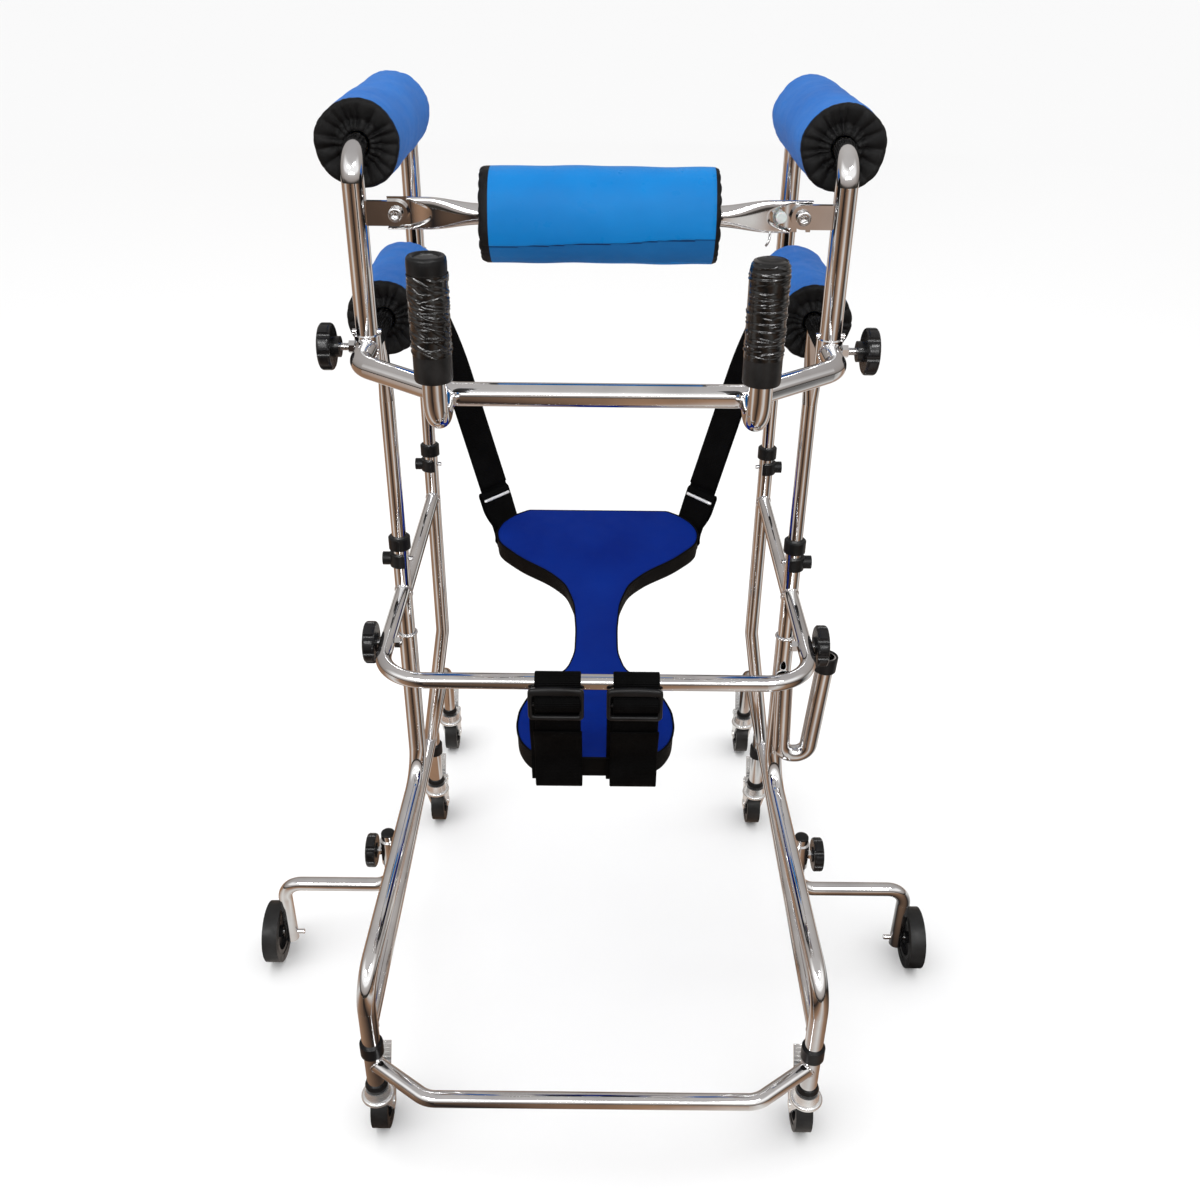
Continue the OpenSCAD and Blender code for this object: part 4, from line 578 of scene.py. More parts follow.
def padded_roll(name, node, axis, seed, sleeve, rim, bore=0.013, flap=None):
    """A roll in place of a node; flap is the angle of the sleeve's free edge, where it has one."""
    low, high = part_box(node)
    centre = (low + high) / 2
    size = high - low
    half = size["XYZ".index(axis)] / 2
    radius = size["XYZ".index("Z")] / 2
    draw = np.random.default_rng(seed)
    angle = np.linspace(0, 2 * math.pi, TURN, endpoint=False)
    rings, black, below = [], [], {}
    wobble = sum(draw.uniform(0.0001, 0.0004) * np.cos(n * angle + draw.uniform(0, 6)) for n in (2, 3, 5, 7))

    def ring(r, z, folds=None, depth=0.0, pull=0.0, extra=0.0):
        fold = np.zeros(TURN) if folds is None else folds
        rr = r + wobble * min(1, r / radius) - pull * (1 - fold) + extra
        zz = z - np.sign(z) * depth * (1 - fold) if folds is not None else np.full(TURN, z)
        return np.stack([rr * np.cos(angle), rr * np.sin(angle), zz], 1)

    ends = []
    for way in (-1, 1):
        folds = pleat_folds(seed * 7 + way, END_PLEATS)
        ends.append([ring(r, way * z, folds, d, p) for r, z, d, p in roll_profile(radius, half, bore)])
    rings += ends[0]
    black += [1] * len(ends[0])
    tucks = [pleat_folds(seed * 11 + way, RIM_TUCKS) for way in (-1, 1)]
    stations = np.concatenate([
        np.linspace(-half + 0.009, -half + 0.03, 5), np.linspace(-half + 0.045, half - 0.045, 22),
        np.linspace(half - 0.03, half - 0.009, 5)])
    for z in stations:
        near = math.exp(-(half - abs(z)) / 0.012)
        crease = tucks[0 if z < 0 else 1]
        slack = 0.0004 * np.sin(z * 40 + 3 * angle + seed) + 0.0003 * np.sin(z * 95 - 5 * angle)
        extra = slack - 0.0011 * near * (1 - crease)
        if flap is not None:
            edge = flap - 0.13 * z / half + 0.012 * math.sin(z * 60)
            extra = extra + 0.0015 * np.where(angle > edge, 0, np.clip((angle - edge + 1.9) / 0.6, 0, 1))
            below[len(rings)] = edge
        rings.append(ring(radius - 0.0003, z, extra=extra))
        black.append(1 if abs(z) > half - rim else 0)
    rings += ends[1][::-1]
    black += [1] * len(ends[1])
    points = np.array(rings)
    if axis == "Y":
        points = points[..., [0, 2, 1]] * np.array([1, 1, -1])
    else:
        points = points[..., [2, 1, 0]] * np.array([1, 1, -1])
    points = points + np.array(centre)

    # Faces under the chest flap get the darker underlay, partly painted shade; the strip at the flap's edge is a
    # painted shadow line.
    def paint_of(k, i):
        if black[k]:
            return 1
        if k not in below or not below[k] - 0.02 < angle[i] < below[k] + UNDERLAY_SHADE_TURN:
            return 0
        return 3 if abs(angle[i] - below[k]) < math.pi / TURN else 2

    layers = [] if flap is None else [chest_underlay_painted_shade, chest_flap_painted_shadow]
    roll = skin(name, points, [sleeve, black_nylon] + layers, paint_of=paint_of)
    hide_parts(node)
    return roll


print("roll helper ready")

# %% Padded rolls
rolls = {}
for side, seed in (("left", 3), ("right", 8)):
    rolls[side, "armpit"] = padded_roll(f"{side}_armpit_roll_cover", f"{side}_armpit_roll", "Y", seed, sky_nylon, 0.008)
    rolls[side, "arm"] = padded_roll(f"{side}_arm_roll_cover", f"{side}_arm_roll", "Y", seed + 20, sky_nylon, 0.008)
    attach(rolls[side, "armpit"], f"{side}_armpit")
    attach(rolls[side, "arm"], "upper_frame")
rolls["chest"] = padded_roll("chest_roll_cover", "chest_roll", "X", 31, chest_nylon, rim=0.014, bore=0.0115, flap=5.09)
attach(rolls["chest"], "chest")
print("rolls:", len(rolls), "each with", len(rolls["chest"].data.vertices), "points")

# %% [markdown]
# ## The seat
# The hanging seat is an hourglass pad: a wide rear lobe, a narrow waist between the thighs and a round front lobe.
# Its top is royal blue, its side is a black gusset. It could be cut from a slab, but a hanging pad bends, so it is
# drawn as cross-sections along its slope, which is a little steeper at the waist than at the lobes.

# %% Outline of the seat
seat_outline = np.array([
    (0.00, 0.72), (0.03, 0.84), (0.07, 0.95), (0.12, 1.00), (0.17, 0.97), (0.24, 0.74), (0.29, 0.48), (0.34, 0.31),
    (0.41, 0.225), (0.50, 0.20), (0.58, 0.205), (0.64, 0.27), (0.69, 0.46), (0.74, 0.61), (0.80, 0.685), (0.86, 0.70),
    (0.91, 0.68), (0.95, 0.625), (0.98, 0.55), (1.00, 0.45)])
seat_low, seat_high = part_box("seat_pad")
seat_rear = np.array([0, seat_high.y, 0.736])
seat_front = np.array([0, seat_low.y, 0.571])
SEAT_HALF, SEAT_THICK = 0.150, 0.039
SEAT_SWAY, SEAT_LEVEL = 0.010, 0.005


def seat_width(s):
    smooth = np.linspace(0, 1, 401)
    wide = np.interp(smooth, seat_outline[:, 0], seat_outline[:, 1])
    kernel = np.hanning(25) / np.hanning(25).sum()
    wide = np.convolve(np.pad(wide, 12, "edge"), kernel, "valid")
    return SEAT_HALF * np.interp(s, smooth, wide)


print("seat waist:", round(2 * float(seat_width(0.5)), 3), "m")

# %% Sections of the pad
TOP, SIDE = 30, 6


def seat_section(s):
    """Points round the pad at one place of its slope, from the left top seam over the top."""
    front_part = max(0.0, (s - 0.75) / 0.25)
    middle = seat_rear + (seat_front - seat_rear) * s
    middle = middle + np.array([0, 0, SEAT_SWAY * math.sin(2 * math.pi * s) + SEAT_LEVEL * front_part ** 2])
    tip = min(1.0, (min(s, 1 - s) * 0.39 / 0.012)) ** 0.5
    wide = seat_width(s) * (0.93 + 0.07 * tip) - 0.002
    thick = SEAT_THICK / 2 * (0.96 + 0.04 * tip) - 0.0008
    across = np.linspace(-1, 1, TOP + 1)
    down = np.linspace(1, -1, SIDE + 1)[1:-1]
    top = [(x * wide, thick) for x in across]
    right = [(wide, z * thick) for z in down]
    under = [(x * wide, -thick) for x in across[::-1]]
    left = [(-wide, z * thick) for z in down[::-1]]
    flat = np.array(top + right + under + left)
    rise = 2 * math.pi * SEAT_SWAY * math.cos(2 * math.pi * s) + 8 * SEAT_LEVEL * front_part
    slope = seat_front - seat_rear + np.array([0, 0, rise])
    slope /= np.linalg.norm(slope)
    up = np.cross([1, 0, 0], slope)
    up = up if up[2] > 0 else -up
    return middle + flat[:, :1] * np.array([1, 0, 0]) + flat[:, 1:] * up


stations = np.concatenate([[0, 0.004], np.linspace(0.014, 0.986, 66), [0.996, 1]])
sections = np.array([seat_section(s) for s in stations])
ring_size = sections.shape[1]


def seat_paint(k, i):
    return 0 if i < TOP or TOP + SIDE <= i < 2 * TOP + SIDE else 1


seat = skin("seat_pad_cover", sections, [royal_nylon, gusset_nylon], paint_of=seat_paint)
mesh = seat.data
seam = {k * ring_size + i for k in range(len(stations)) for i in (0, TOP, TOP + SIDE, 2 * TOP + SIDE)}
seam |= set(range(ring_size)) | {(len(stations) - 1) * ring_size + i for i in range(ring_size)}
print("seat mesh:", len(mesh.vertices), "points,", len(seam), "on the seams")

# %% [markdown]
# The sections leave the rear and the front end of the pad open. One tall face could close each end, but rounding
# would draw it inward, so each end gets a black band with as many rows of faces as the sides have.

# %% Ends of the pad


def close_ends(obj, size, count):
    """Black bands that close the rear and the front end of the pad, in as many rows as its sides have."""
    mesh = obj.data
    verts = [np.array(v.co) for v in mesh.vertices]
    added = []
    for k in (0, count - 1):
        base, grid = k * size, {}
        for i in range(TOP + 1):
            grid[i, 0], grid[i, SIDE] = base + i, base + 2 * TOP + SIDE - i
        for j in range(1, SIDE):
            grid[TOP, j], grid[0, j] = base + TOP + j, base + 2 * TOP + 2 * SIDE - j
            for i in range(1, TOP):
                a, b = verts[grid[i, 0]], verts[grid[i, SIDE]]
                grid[i, j] = len(verts)
                verts.append(a + (b - a) * j / SIDE)
        for i in range(TOP):
            added += [(grid[i, j], grid[i + 1, j], grid[i + 1, j + 1], grid[i, j + 1]) for j in range(SIDE)]
    faces = [tuple(f.vertices) for f in mesh.polygons] + added
    finish = [f.material_index for f in mesh.polygons] + [1] * len(added)
    flat = [tuple(d.uv) for d in mesh.uv_layers[0].data]
    for face in added:
        flat += [(verts[v][0], verts[v][2]) for v in face]
    obj.data = sewn_mesh(mesh.name, verts, faces, flat, mesh.materials, finish)


close_ends(seat, ring_size, len(stations))
print("seat with ends:", len(seat.data.polygons), "faces")

# %% [markdown]
# A sewn pad swells between its seams. Sculpting could fake that, but Blender's cloth gets it from the real cause:
# pressure inside, seams that are held, and cloth that hardly stretches. A limit on each point's way keeps it a pad.

# %% Filling the pad


def puff(obj, held, pressure, cap, frames=20):
    """Cloth blown up from inside while the held points stay; no point moves further than cap."""
    rest = np.array([v.co for v in obj.data.vertices])
    group = obj.vertex_groups.new(name="seams")
    group.add(sorted(held), 1.0, "REPLACE")
    cloth = obj.modifiers.new("blow_up", "CLOTH")
    cloth.settings.use_pressure = True
    cloth.settings.uniform_pressure_force = pressure
    cloth.settings.effector_weights.gravity = 0
    cloth.settings.vertex_group_mass = "seams"
    cloth.settings.tension_stiffness = 25
    cloth.settings.compression_stiffness = 25
    cloth.settings.bending_stiffness = 0.6
    cloth.collision_settings.use_self_collision = False
    scene = bpy.context.scene
    for step in range(1, frames + 1):
        scene.frame_set(step)
    got = obj.evaluated_get(bpy.context.evaluated_depsgraph_get()).to_mesh()
    moved = np.array([v.co for v in got.vertices]) - rest
    obj.modifiers.remove(cloth)
    scene.frame_set(1)
    far = np.linalg.norm(moved, axis=1, keepdims=True)
    moved *= np.minimum(1, cap / np.maximum(far, 1e-9))
    obj.data.vertices.foreach_set("co", (rest + moved).astype(np.float32).ravel())
    obj.data.update()
    return float(np.linalg.norm(moved, axis=1).max())


print("seat puffed by", round(puff(seat, seam, pressure=5, cap=0.007) * 1000, 1), "mm at most")
round_off = seat.modifiers.new("round_off", "SUBSURF")
round_off.levels = round_off.render_levels = 1
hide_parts("seat_pad")
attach(seat, "base_frame")
print("seat pad:", 2 * SEAT_HALF, "m wide and", SEAT_THICK, "m thick")

# %% [markdown]
# The top seam is bound with a thin black piping. It is a round cord swept along the seam points of the pad, so it sits
# on the edge wherever the cloth has moved.

# %% Piping of the seat


def cord_round(name, points, thick, paint, sides=8, loop=False):
    """A round cord through points, with a frame that doesn't twist."""
    points = np.asarray(points, float)
    ahead = np.roll(points, -1, 0) - np.roll(points, 1, 0)
    if not loop:
        ahead[0], ahead[-1] = points[1] - points[0], points[-1] - points[-2]
    ahead /= np.linalg.norm(ahead, axis=1, keepdims=True)
    side = np.cross(ahead[0], [0.3, 0.5, 0.8])
    rings = []
    for p, t in zip(points, ahead):
        side = side - t * (side @ t)
        side /= np.linalg.norm(side)
        other = np.cross(t, side)
        turn = np.linspace(0, 2 * math.pi, sides, endpoint=False)
        rings.append(p + thick / 2 * (np.cos(turn)[:, None] * side + np.sin(turn)[:, None] * other))
    return skin(name, rings, [paint], loop=loop, caps=not loop)


seat_points = np.array([v.co for v in seat.data.vertices])
last = (len(stations) - 1) * ring_size
top_left = [k * ring_size for k in range(len(stations))]
top_right = [k * ring_size + TOP for k in range(len(stations))]
edge = top_right + [last + i for i in range(TOP - 1, 0, -1)] + top_left[::-1] + list(range(1, TOP))
PIPING, PIPING_DROP = 0.0026, np.array([0, 0, 0.001])
piping = cord_round("seat_piping", seat_points[edge] - PIPING_DROP, PIPING, gusset_nylon, loop=True)
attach(piping, "base_frame")
print("piping points:", len(edge))

# %% [markdown]
# ## The straps
# Webbing is a flat band about two and a half millimetres thick with rounded edges. It is drawn as a small flattened
# ring of points carried along a path, with the band's width direction given at each point, so that it can turn over a
# tube without stretching. The rear straps join the raised handlebar to the seat.

# %% Helper: a band of webbing
WEBBING, WEBBING_THIN, LOOP_OFF = 0.0024, 0.002, 0.0017


def spline(points, count):
    """A smooth path through points (Catmull-Rom), evenly cut."""
    p = np.asarray(points, float)
    p = np.vstack([2 * p[0] - p[1], p, 2 * p[-1] - p[-2]])
    out = []
    for a, b, c, d in zip(p[:-3], p[1:-2], p[2:-1], p[3:]):
        t = np.linspace(0, 1, 24, endpoint=False)[:, None]
        bend, twist = 2 * a - 5 * b + 4 * c - d, 3 * b - a - 3 * c + d
        out.append(0.5 * (2 * b + (c - a) * t + bend * t ** 2 + twist * t ** 3))
    out = np.vstack(out + [p[-2:-1]])
    far = np.concatenate([[0], np.cumsum(np.linalg.norm(np.diff(out, axis=0), axis=1))])
    at = np.linspace(0, far[-1], count)
    return np.stack([np.interp(at, far, out[:, k]) for k in range(3)], 1), far[-1]


def band(name, path, wide, width, thick, paint):
    """Webbing along a path; the direction and the size of its width are one for all or one for each point."""
    path = np.asarray(path, float)
    wide = np.broadcast_to(np.asarray(wide, float), path.shape)
    ahead = np.gradient(path, axis=0)
    ahead /= np.linalg.norm(ahead, axis=1, keepdims=True)
    w = wide - ahead * np.sum(wide * ahead, axis=1, keepdims=True)
    w /= np.linalg.norm(w, axis=1, keepdims=True)
    n = np.cross(ahead, w)
    half = np.broadcast_to(np.asarray(width, float) / 2, len(path))
    t = thick / 2
    rings = []
    for p, a, b, h in zip(path, w, n, half):
        across = [(-h, 0)] + [(x * (h - t * 0.6), t) for x in np.linspace(-1, 1, 9)] + [(h, 0)]
        across += [(x * (h - t * 0.6), -t) for x in np.linspace(1, -1, 9)]
        rings.append(p + np.array([x * a + y * b for x, y in across]))
    return skin(name, rings, [paint], caps=True)


print("band helper ready")

# %% [markdown]
# A front strap is looped round the seat bar and closed by a moulded ladder buckle: the webbing runs behind the top
# bar, over the middle bar in a fat fold, and behind the lower bar. The buckle's frame is one thick rounded ring. Its
# inner and outer outline have the same number of points, so a small domed section can be drawn between each pair.

# %% Ladder buckles
bar_y, bar_z, bar_r = -0.340, 0.722, 0.010
FRONT_X = 0.0475
ladder_top = np.array([0, -0.3575, 0.7227])
ladder_down = np.array([0, 0.012, -0.9999])
ladder_out = np.array([0, -0.9999, -0.012])
LADDER_HALF, LADDER_TALL = 0.034, 0.045


def round_box(half, low, high, r):
    """Outline of a rounded rectangle, with as many points for every size."""
    spots = [(half - r, high - r), (r - half, high - r), (r - half, low + r), (half - r, low + r)]
    arcs = [[(u + r * math.cos(a), v + r * math.sin(a)) for a in (k + np.linspace(0, 1, 7)) * math.pi / 2]
            for k, (u, v) in enumerate(spots)]
    outline = []
    for k in range(4):
        start, stop = np.array(arcs[k][-1]), np.array(arcs[(k + 1) % 4][0])
        outline += arcs[k] + [tuple(start + (stop - start) * s) for s in np.linspace(0, 1, 12)[1:-1]]
    return np.array(outline)


def on_ladder(x, u, q, g):
    """A point of a buckle: u across, q down from its top edge, g in front of its middle plane."""
    return ladder_top + ladder_down * q + ladder_out * g + np.array([x + u, 0, 0])


def ladder_buckle(name, x):
    outer = round_box(LADDER_HALF, 0.0, LADDER_TALL, 0.006)
    inner = round_box(LADDER_HALF - 0.0055, 0.0095, LADDER_TALL - 0.0065, 0.002)
    outer[:, 1] -= np.where(outer[:, 1] < 0.004, 0.0022 * (1 - (outer[:, 0] / LADDER_HALF) ** 2), 0)
    section = [(0, -0.0022), (0, 0.0012), (0.12, 0.0025), (0.5, 0.0033), (0.88, 0.0025), (1, 0.0008), (1, -0.0022),
               (0.5, -0.0027)]
    rings = [[on_ladder(x, *(a + (b - a) * s), g) for s, g in section] for a, b in zip(inner, outer)]
    ladder = skin(name, rings, [moulded_black], loop=True)
    middle = [on_ladder(x, u, 0.0225, 0.0004) for u in np.linspace(-0.03, 0.03, 5)]
    rod = cord_round(name + "_rod", middle, 0.005, moulded_black)
    for piece in (ladder, rod):
        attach(piece, "base_frame")
    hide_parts("strap_buckles")


for side, sign in (("left", -1), ("right", 1)):
    ladder_buckle(f"{side}_ladder_buckle", sign * FRONT_X)
print("ladder buckles: 2, each", LADDER_HALF * 2, "by", LADDER_TALL, "m")

# %% Front straps
front_y = seat_low.y
FRONT_WIDE = 0.060
ACROSS = (1, 0, 0)
for side, x in (("left", -FRONT_X), ("right", FRONT_X)):
    r = bar_r + LOOP_OFF
    turn = np.linspace(-0.35 * math.pi, 0.98 * math.pi, 22)
    loop = [(x, bar_y + r * math.cos(a), bar_z + r * math.sin(a)) for a in turn]
    fold = [on_ladder(x, 0, q, g) for q, g in ((0.004, -0.0044), (0.0085, -0.0042), (0.0125, -0.0005), (0.0165, 0.0036),
                                               (0.0225, 0.0052), (0.0285, 0.0038), (0.033, -0.0006), (0.0375, -0.0042),
                                               (0.043, -0.0046))]
    drop = [(x, -0.3475, 0.655), (x, front_y - 0.0066, 0.602), (x, front_y - 0.006, 0.575),
            (x, front_y - 0.002, 0.5525), (x, front_y + 0.012, 0.5505), (x, front_y + 0.066, 0.570)]
    path, length = spline(loop[::3] + fold + drop, 240)
    path += np.array([0.002, 0, 0])
    strap = band(f"{side}_front_strap", path, ACROSS, FRONT_WIDE - 0.004, WEBBING, webbing_black)
    back = [(x, bar_y + r - 0.001, bar_z - 0.006), (x, bar_y + 0.004, bar_z - 0.02), (x, bar_y - 0.003, bar_z - 0.034),
            (x, -0.3445, 0.655), (x, front_y - 0.0038, 0.602), (x, front_y - 0.0032, 0.575),
            (x, front_y + 0.0008, 0.5565)]
    path, tail = spline(back, 80)
    path -= np.array([0.0025, 0, 0])
    under = band(f"{side}_front_strap_tail", path, ACROSS, FRONT_WIDE + 0.002, WEBBING_THIN, webbing_black)
    lap = [(x, -0.3498, 0.6545), (x, -0.3462, 0.643), (x, front_y - 0.0096, 0.602), (x, front_y - 0.009, 0.575),
           (x, front_y - 0.005, 0.5502), (x, front_y + 0.011, 0.5475), (x, front_y + 0.05, 0.5620)]
    path, doubled = spline(lap, 80)
    path += np.array([0.0015, 0, 0])
    over = band(f"{side}_front_strap_lap", path, ACROSS, FRONT_WIDE, WEBBING, webbing_black)
    for piece in (strap, under, over):
        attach(piece, "base_frame")
    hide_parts("front_straps")
    print(side, "front strap:", round(length, 3), "m, tail", round(tail, 3), "m, sewn lap", round(doubled, 3), "m")

# %% [markdown]
# A rear strap hangs from a loop round the side arm, where its width lies along the arm. Half way down it has turned to
# face the round corner of the seat, and it ends in a lap that is sewn down the black side of the pad and under it,
# where it leans with the pad. A wider piece of webbing is folded over it just above the seat. It holds the slide
# buckle, of which one bright bar shows on the face.

# %% Rear straps
arm_z, arm_r = 1.090, 0.0125
hang_y = 0.15455
REAR_WIDE = 0.050
POST_X = 0.265
PAD_LEAN = 0.227


def turn_level(along, way, until=0.4):
    """Width direction of a rear strap: along the side arm at the loop, level and square to the strap below."""
    level = np.cross([0, 0, 1], way)
    level *= np.sign(level[1]) / np.linalg.norm(level)
    t = np.clip(along / until, 0, 1)[:, None]
    part = t * t * (3 - 2 * t)
    return (1 - part) * np.array([0, 1, 0]) + part * level


def rear_strap(side, sign):
    """The strap, its doubled stretch, the keeper and the slide buckle of one side."""
    r = arm_r + LOOP_OFF
    turn = np.linspace(1.35 * math.pi, -0.02 * math.pi, 20)
    loop = [(sign * (POST_X - r * math.cos(a)), hang_y, arm_z + r * math.sin(a)) for a in turn]
    foot = np.array([sign * 0.1354, 0.0519, 0.72775])
    top = np.array(loop[-1])
    way = (foot - top) / np.linalg.norm(foot - top)
    fall = [top + (foot - top) * s for s in np.linspace(0.04, 1.0, 14)]
    out = np.array([sign * 0.707, 0.707, 0])
    lap = [foot + out * t + np.array([0, 0, z])
           for t, z in ((0.0008, -0.012), (-0.0022, -0.0201), (-0.01, -0.0208), (-0.024, -0.0244))]
    path, length = spline(loop[::2] + fall + lap, 200)
    down = np.clip((path - top) @ way / np.linalg.norm(foot - top), 0, 1)
    near_loop = np.arange(len(path)) < np.argmin(np.linalg.norm(path - top, axis=1))
    down[near_loop] = 0
    under_pad = np.clip((foot[2] - path[:, 2]) / 0.018, 0, 1)
    lean = turn_level(down, way) + under_pad[:, None] * np.array([0, 0, PAD_LEAN])
    strap = band(f"{side}_rear_strap", path, lean, REAR_WIDE - 0.010 * under_pad ** 4, WEBBING, webbing_black)
    shares = np.linspace(0.1, 0.825, 50)
    doubled = np.array([top + (foot - top) * s for s in shares])
    wide = turn_level(shares, way)
    off = np.cross(wide, way) * sign
    off /= np.linalg.norm(off, axis=1, keepdims=True)
    under = band(f"{side}_rear_strap_tail", doubled + off * 0.003, wide, REAR_WIDE - 0.001, WEBBING_THIN, webbing_black)
    for piece in (strap, under):
        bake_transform(piece)
    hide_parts("rear_straps")
    low_wide, low_off = wide[-1] / np.linalg.norm(wide[-1]), off[-1]

    def on_strap(share, u, g):
        return top + (foot - top) * share + low_wide * u + low_off * g

    shares = np.linspace(1.0, 0.848, 12)
    drawn_in = 0.008 * np.clip((shares - 0.9) / 0.1, 0, 1) ** 1.5
    around = [on_strap(s, u - 0.002, 0.0034) for s, u in zip(shares, drawn_in)] + [on_strap(0.8385, -0.002, 0.0)]
    around += [on_strap(s, u - 0.002, -0.0034) for s, u in zip(shares[::-1], drawn_in[::-1])]
    path, folded = spline(around, 120)
    drawn_in = np.interp((path - top) @ way / np.linalg.norm(foot - top), shares[::-1], drawn_in[::-1])
    width = REAR_WIDE + 0.004 - 2 * drawn_in
    keeper = band(f"{side}_rear_strap_keeper", path, low_wide, width, WEBBING, webbing_black)
    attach(keeper, "base_frame")
    staple = [(-0.0222, 0.0035), (-0.0225, 0.0052), (-0.0212, 0.0064), (-0.012, 0.0066), (0.0, 0.0067),
              (0.012, 0.0066), (0.0212, 0.0064), (0.0225, 0.0052), (0.0222, 0.0035)]
    wire = [on_strap(0.868, u - 0.0035, g) for u, g in staple]
    path, _ = spline(wire, 60)
    slide = cord_round(f"{side}_slide_buckle_bar", path, 0.0042, nickel_wire, 12)
    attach(slide, "base_frame")
    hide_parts("strap_buckles")
    tail = float(np.linalg.norm(doubled[-1] - doubled[0]))
    print(side, "rear strap:", round(length, 3), "m, doubled", round(tail, 3), "m, keeper", round(folded, 3), "m")


rear_strap("left", -1)
rear_strap("right", 1)

# %% [markdown]
# ## The foam grips
# The upright handles carry black foam sleeves, and most of each sleeve still wears a thin clear film. The sleeve is a
# lathe form. The film is a second skin a hair's breadth above it, with creases that run across where it was pulled
# tight: each crease is a short ridge in the unrolled surface. Modelled ridges catch the light as the real film does.

# %% Helper: creases of a film


def lathe(name, profile, centre, paints, sides=72, paint_of=None, lift=None):
    """Rings round a vertical axis through centre; lift(angles, height) adds to the radius."""
    turn = np.linspace(0, 2 * math.pi, sides, endpoint=False)
    rings = []
    for r, z in profile:
        rr = np.full(sides, r) if lift is None else r + lift(turn, z)
        x, y = centre[0] + rr * np.cos(turn), centre[1] + rr * np.sin(turn)
        rings.append(np.stack([x, y, np.full(sides, centre[2] + z)], 1))
    return skin(name, rings, paints, caps=lift is None, paint_of=paint_of)


def film_creases(seed, count, low, high, radius, lean):
    """A function of angle and height: the height of the film's ridges."""
    draw = np.random.default_rng(seed)
    start = np.stack([draw.uniform(0, 2 * math.pi, count), draw.uniform(low, high, count)], 1)
    lean = draw.normal(*lean, count)
    long = draw.uniform(0.004, 0.018, count)
    tall = draw.uniform(0.0005, 0.0012, count)
    thin = draw.uniform(0.0007, 0.0013, count)

    def lift(turn, z):
        across = (turn[:, None] - start[:, 0] + math.pi) % (2 * math.pi) - math.pi
        s, v = across * radius, z - start[:, 1]
        along = s * np.cos(lean) + v * np.sin(lean)
        off = v * np.cos(lean) - s * np.sin(lean)
        ridge = tall * np.exp(-(off / thin) ** 2) * np.exp(-(along / long) ** 4)
        return ridge.max(1)

    return lift


clear_film = hard_finish("clear_film", (0.002, 0.002, 0.002), (0.008, 0.008, 0.008), (0.08, 0.2), 0.0, 60, 300, 0.00008,
                         Coat_Weight=0.5, Coat_Roughness=0.08, Specular_IOR_Level=0.3)
grip_foam = hard_finish("grip_foam", (0.005, 0.005, 0.005), (0.013, 0.012, 0.012), (0.34, 0.5), 0.0, 70, 1400, 0.00008,
                        Specular_IOR_Level=0.3)
recess_grey = hard_finish("recess_grey", (0.03, 0.03, 0.03), (0.055, 0.055, 0.054), (0.3, 0.45), 0.0, 50, 1200, 0.00002)
print("film ready")

# %% Foam grips
HANDLE_X, RECESS_R = 0.16, 0.0122
grip_low, grip_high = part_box("handle_grips")
grip_y = (grip_low.y + grip_high.y) / 2
FOAM = [(0.0122, 0.0004), (0.0165, 0.0), (0.0183, 0.0007), (0.0190, 0.003), (0.0190, 0.02), (0.0188, 0.045),
        (0.0189, 0.07), (0.0190, 0.095), (0.0191, 0.105)]
DOME = [(0.0189, 0.1105), (0.0178, 0.1160), (0.0152, 0.1195), (0.0105, 0.1212), (0.0050, 0.1218), (0.0006, 0.1219)]
RING_CAP = [(0.0193, 0.1065), (0.0194, 0.1150), (0.0189, 0.1192), (0.0174, 0.1212), (0.0145, 0.1214), (0.0126, 0.1202),
            (0.0116, 0.1180), (0.0090, 0.1170), (0.0040, 0.1166), (0.0006, 0.1166)]


def finer(profile, count):
    profile = np.array(profile)
    at = np.linspace(0, len(profile) - 1, count)
    return np.stack([np.interp(at, range(len(profile)), profile[:, k]) for k in (0, 1)], 1)


LEFT_FILM = {"seed": 5, "count": 190, "lean": (-0.3, 0.25)}
RIGHT_FILM = {"seed": 12, "count": 130, "lean": (0.02, 0.09)}


def foam_grip(side, sign, top, pulled, rim, stop):
    """A foam sleeve with its film; above rim it is a moulded cap, and the film ends at stop."""
    centre = (sign * HANDLE_X, grip_y, grip_high.z - 0.122)
    profile = finer(FOAM + top, 80)

    def grip_paint(k, i):
        r, z = profile[k]
        return 0 if z < rim else 2 if r < RECESS_R else 1

    grip = lathe(f"{side}_foam_grip", profile, centre, [grip_foam, moulded_black, recess_grey], paint_of=grip_paint)
    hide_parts("handle_grips")
    outer = finer(FOAM + top, 400)
    outer = outer[(outer[:, 1] > 0.027) & (outer[:, 1] < stop)]
    way = np.concatenate([[0], np.cumsum(np.linalg.norm(np.diff(outer, axis=0), axis=1))])
    at = np.linspace(0, way[-1], 220)
    outer = np.stack([np.interp(at, way, outer[:, k]) for k in (0, 1)], 1) + np.array([0.0003, 0])
    film = lathe(f"{side}_grip_film", outer, centre, [clear_film], 280, None,
                 film_creases(low=0.03, high=stop, radius=0.019, **pulled))
    for piece in (grip, film):
        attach(piece, "upper_frame")


foam_grip("left", -1, RING_CAP, LEFT_FILM, rim=0.1062, stop=0.105)
foam_grip("right", 1, DOME, RIGHT_FILM, rim=1.0, stop=0.1205)
print("grips: 2, height", round(grip_high.z - grip_low.z, 3))

# %% [markdown]
# ## The chest bar
# The chest bar is one tube. Its ends were pressed into spoons, each with a pocket in which the tab of its armpit arch
# lies. A press shapes a tube section by section, so the bar is drawn that way: a circle widens into a flat box, and its
# front wall is pushed back inside the pocket. The left pocket is open at the top, where the tab swings, and the right
# end has an open slot under its bolt, because that end lifts off.

# %% Chest bar
chest_y, chest_z = -0.200, 1.240
BOLT_X = 0.221


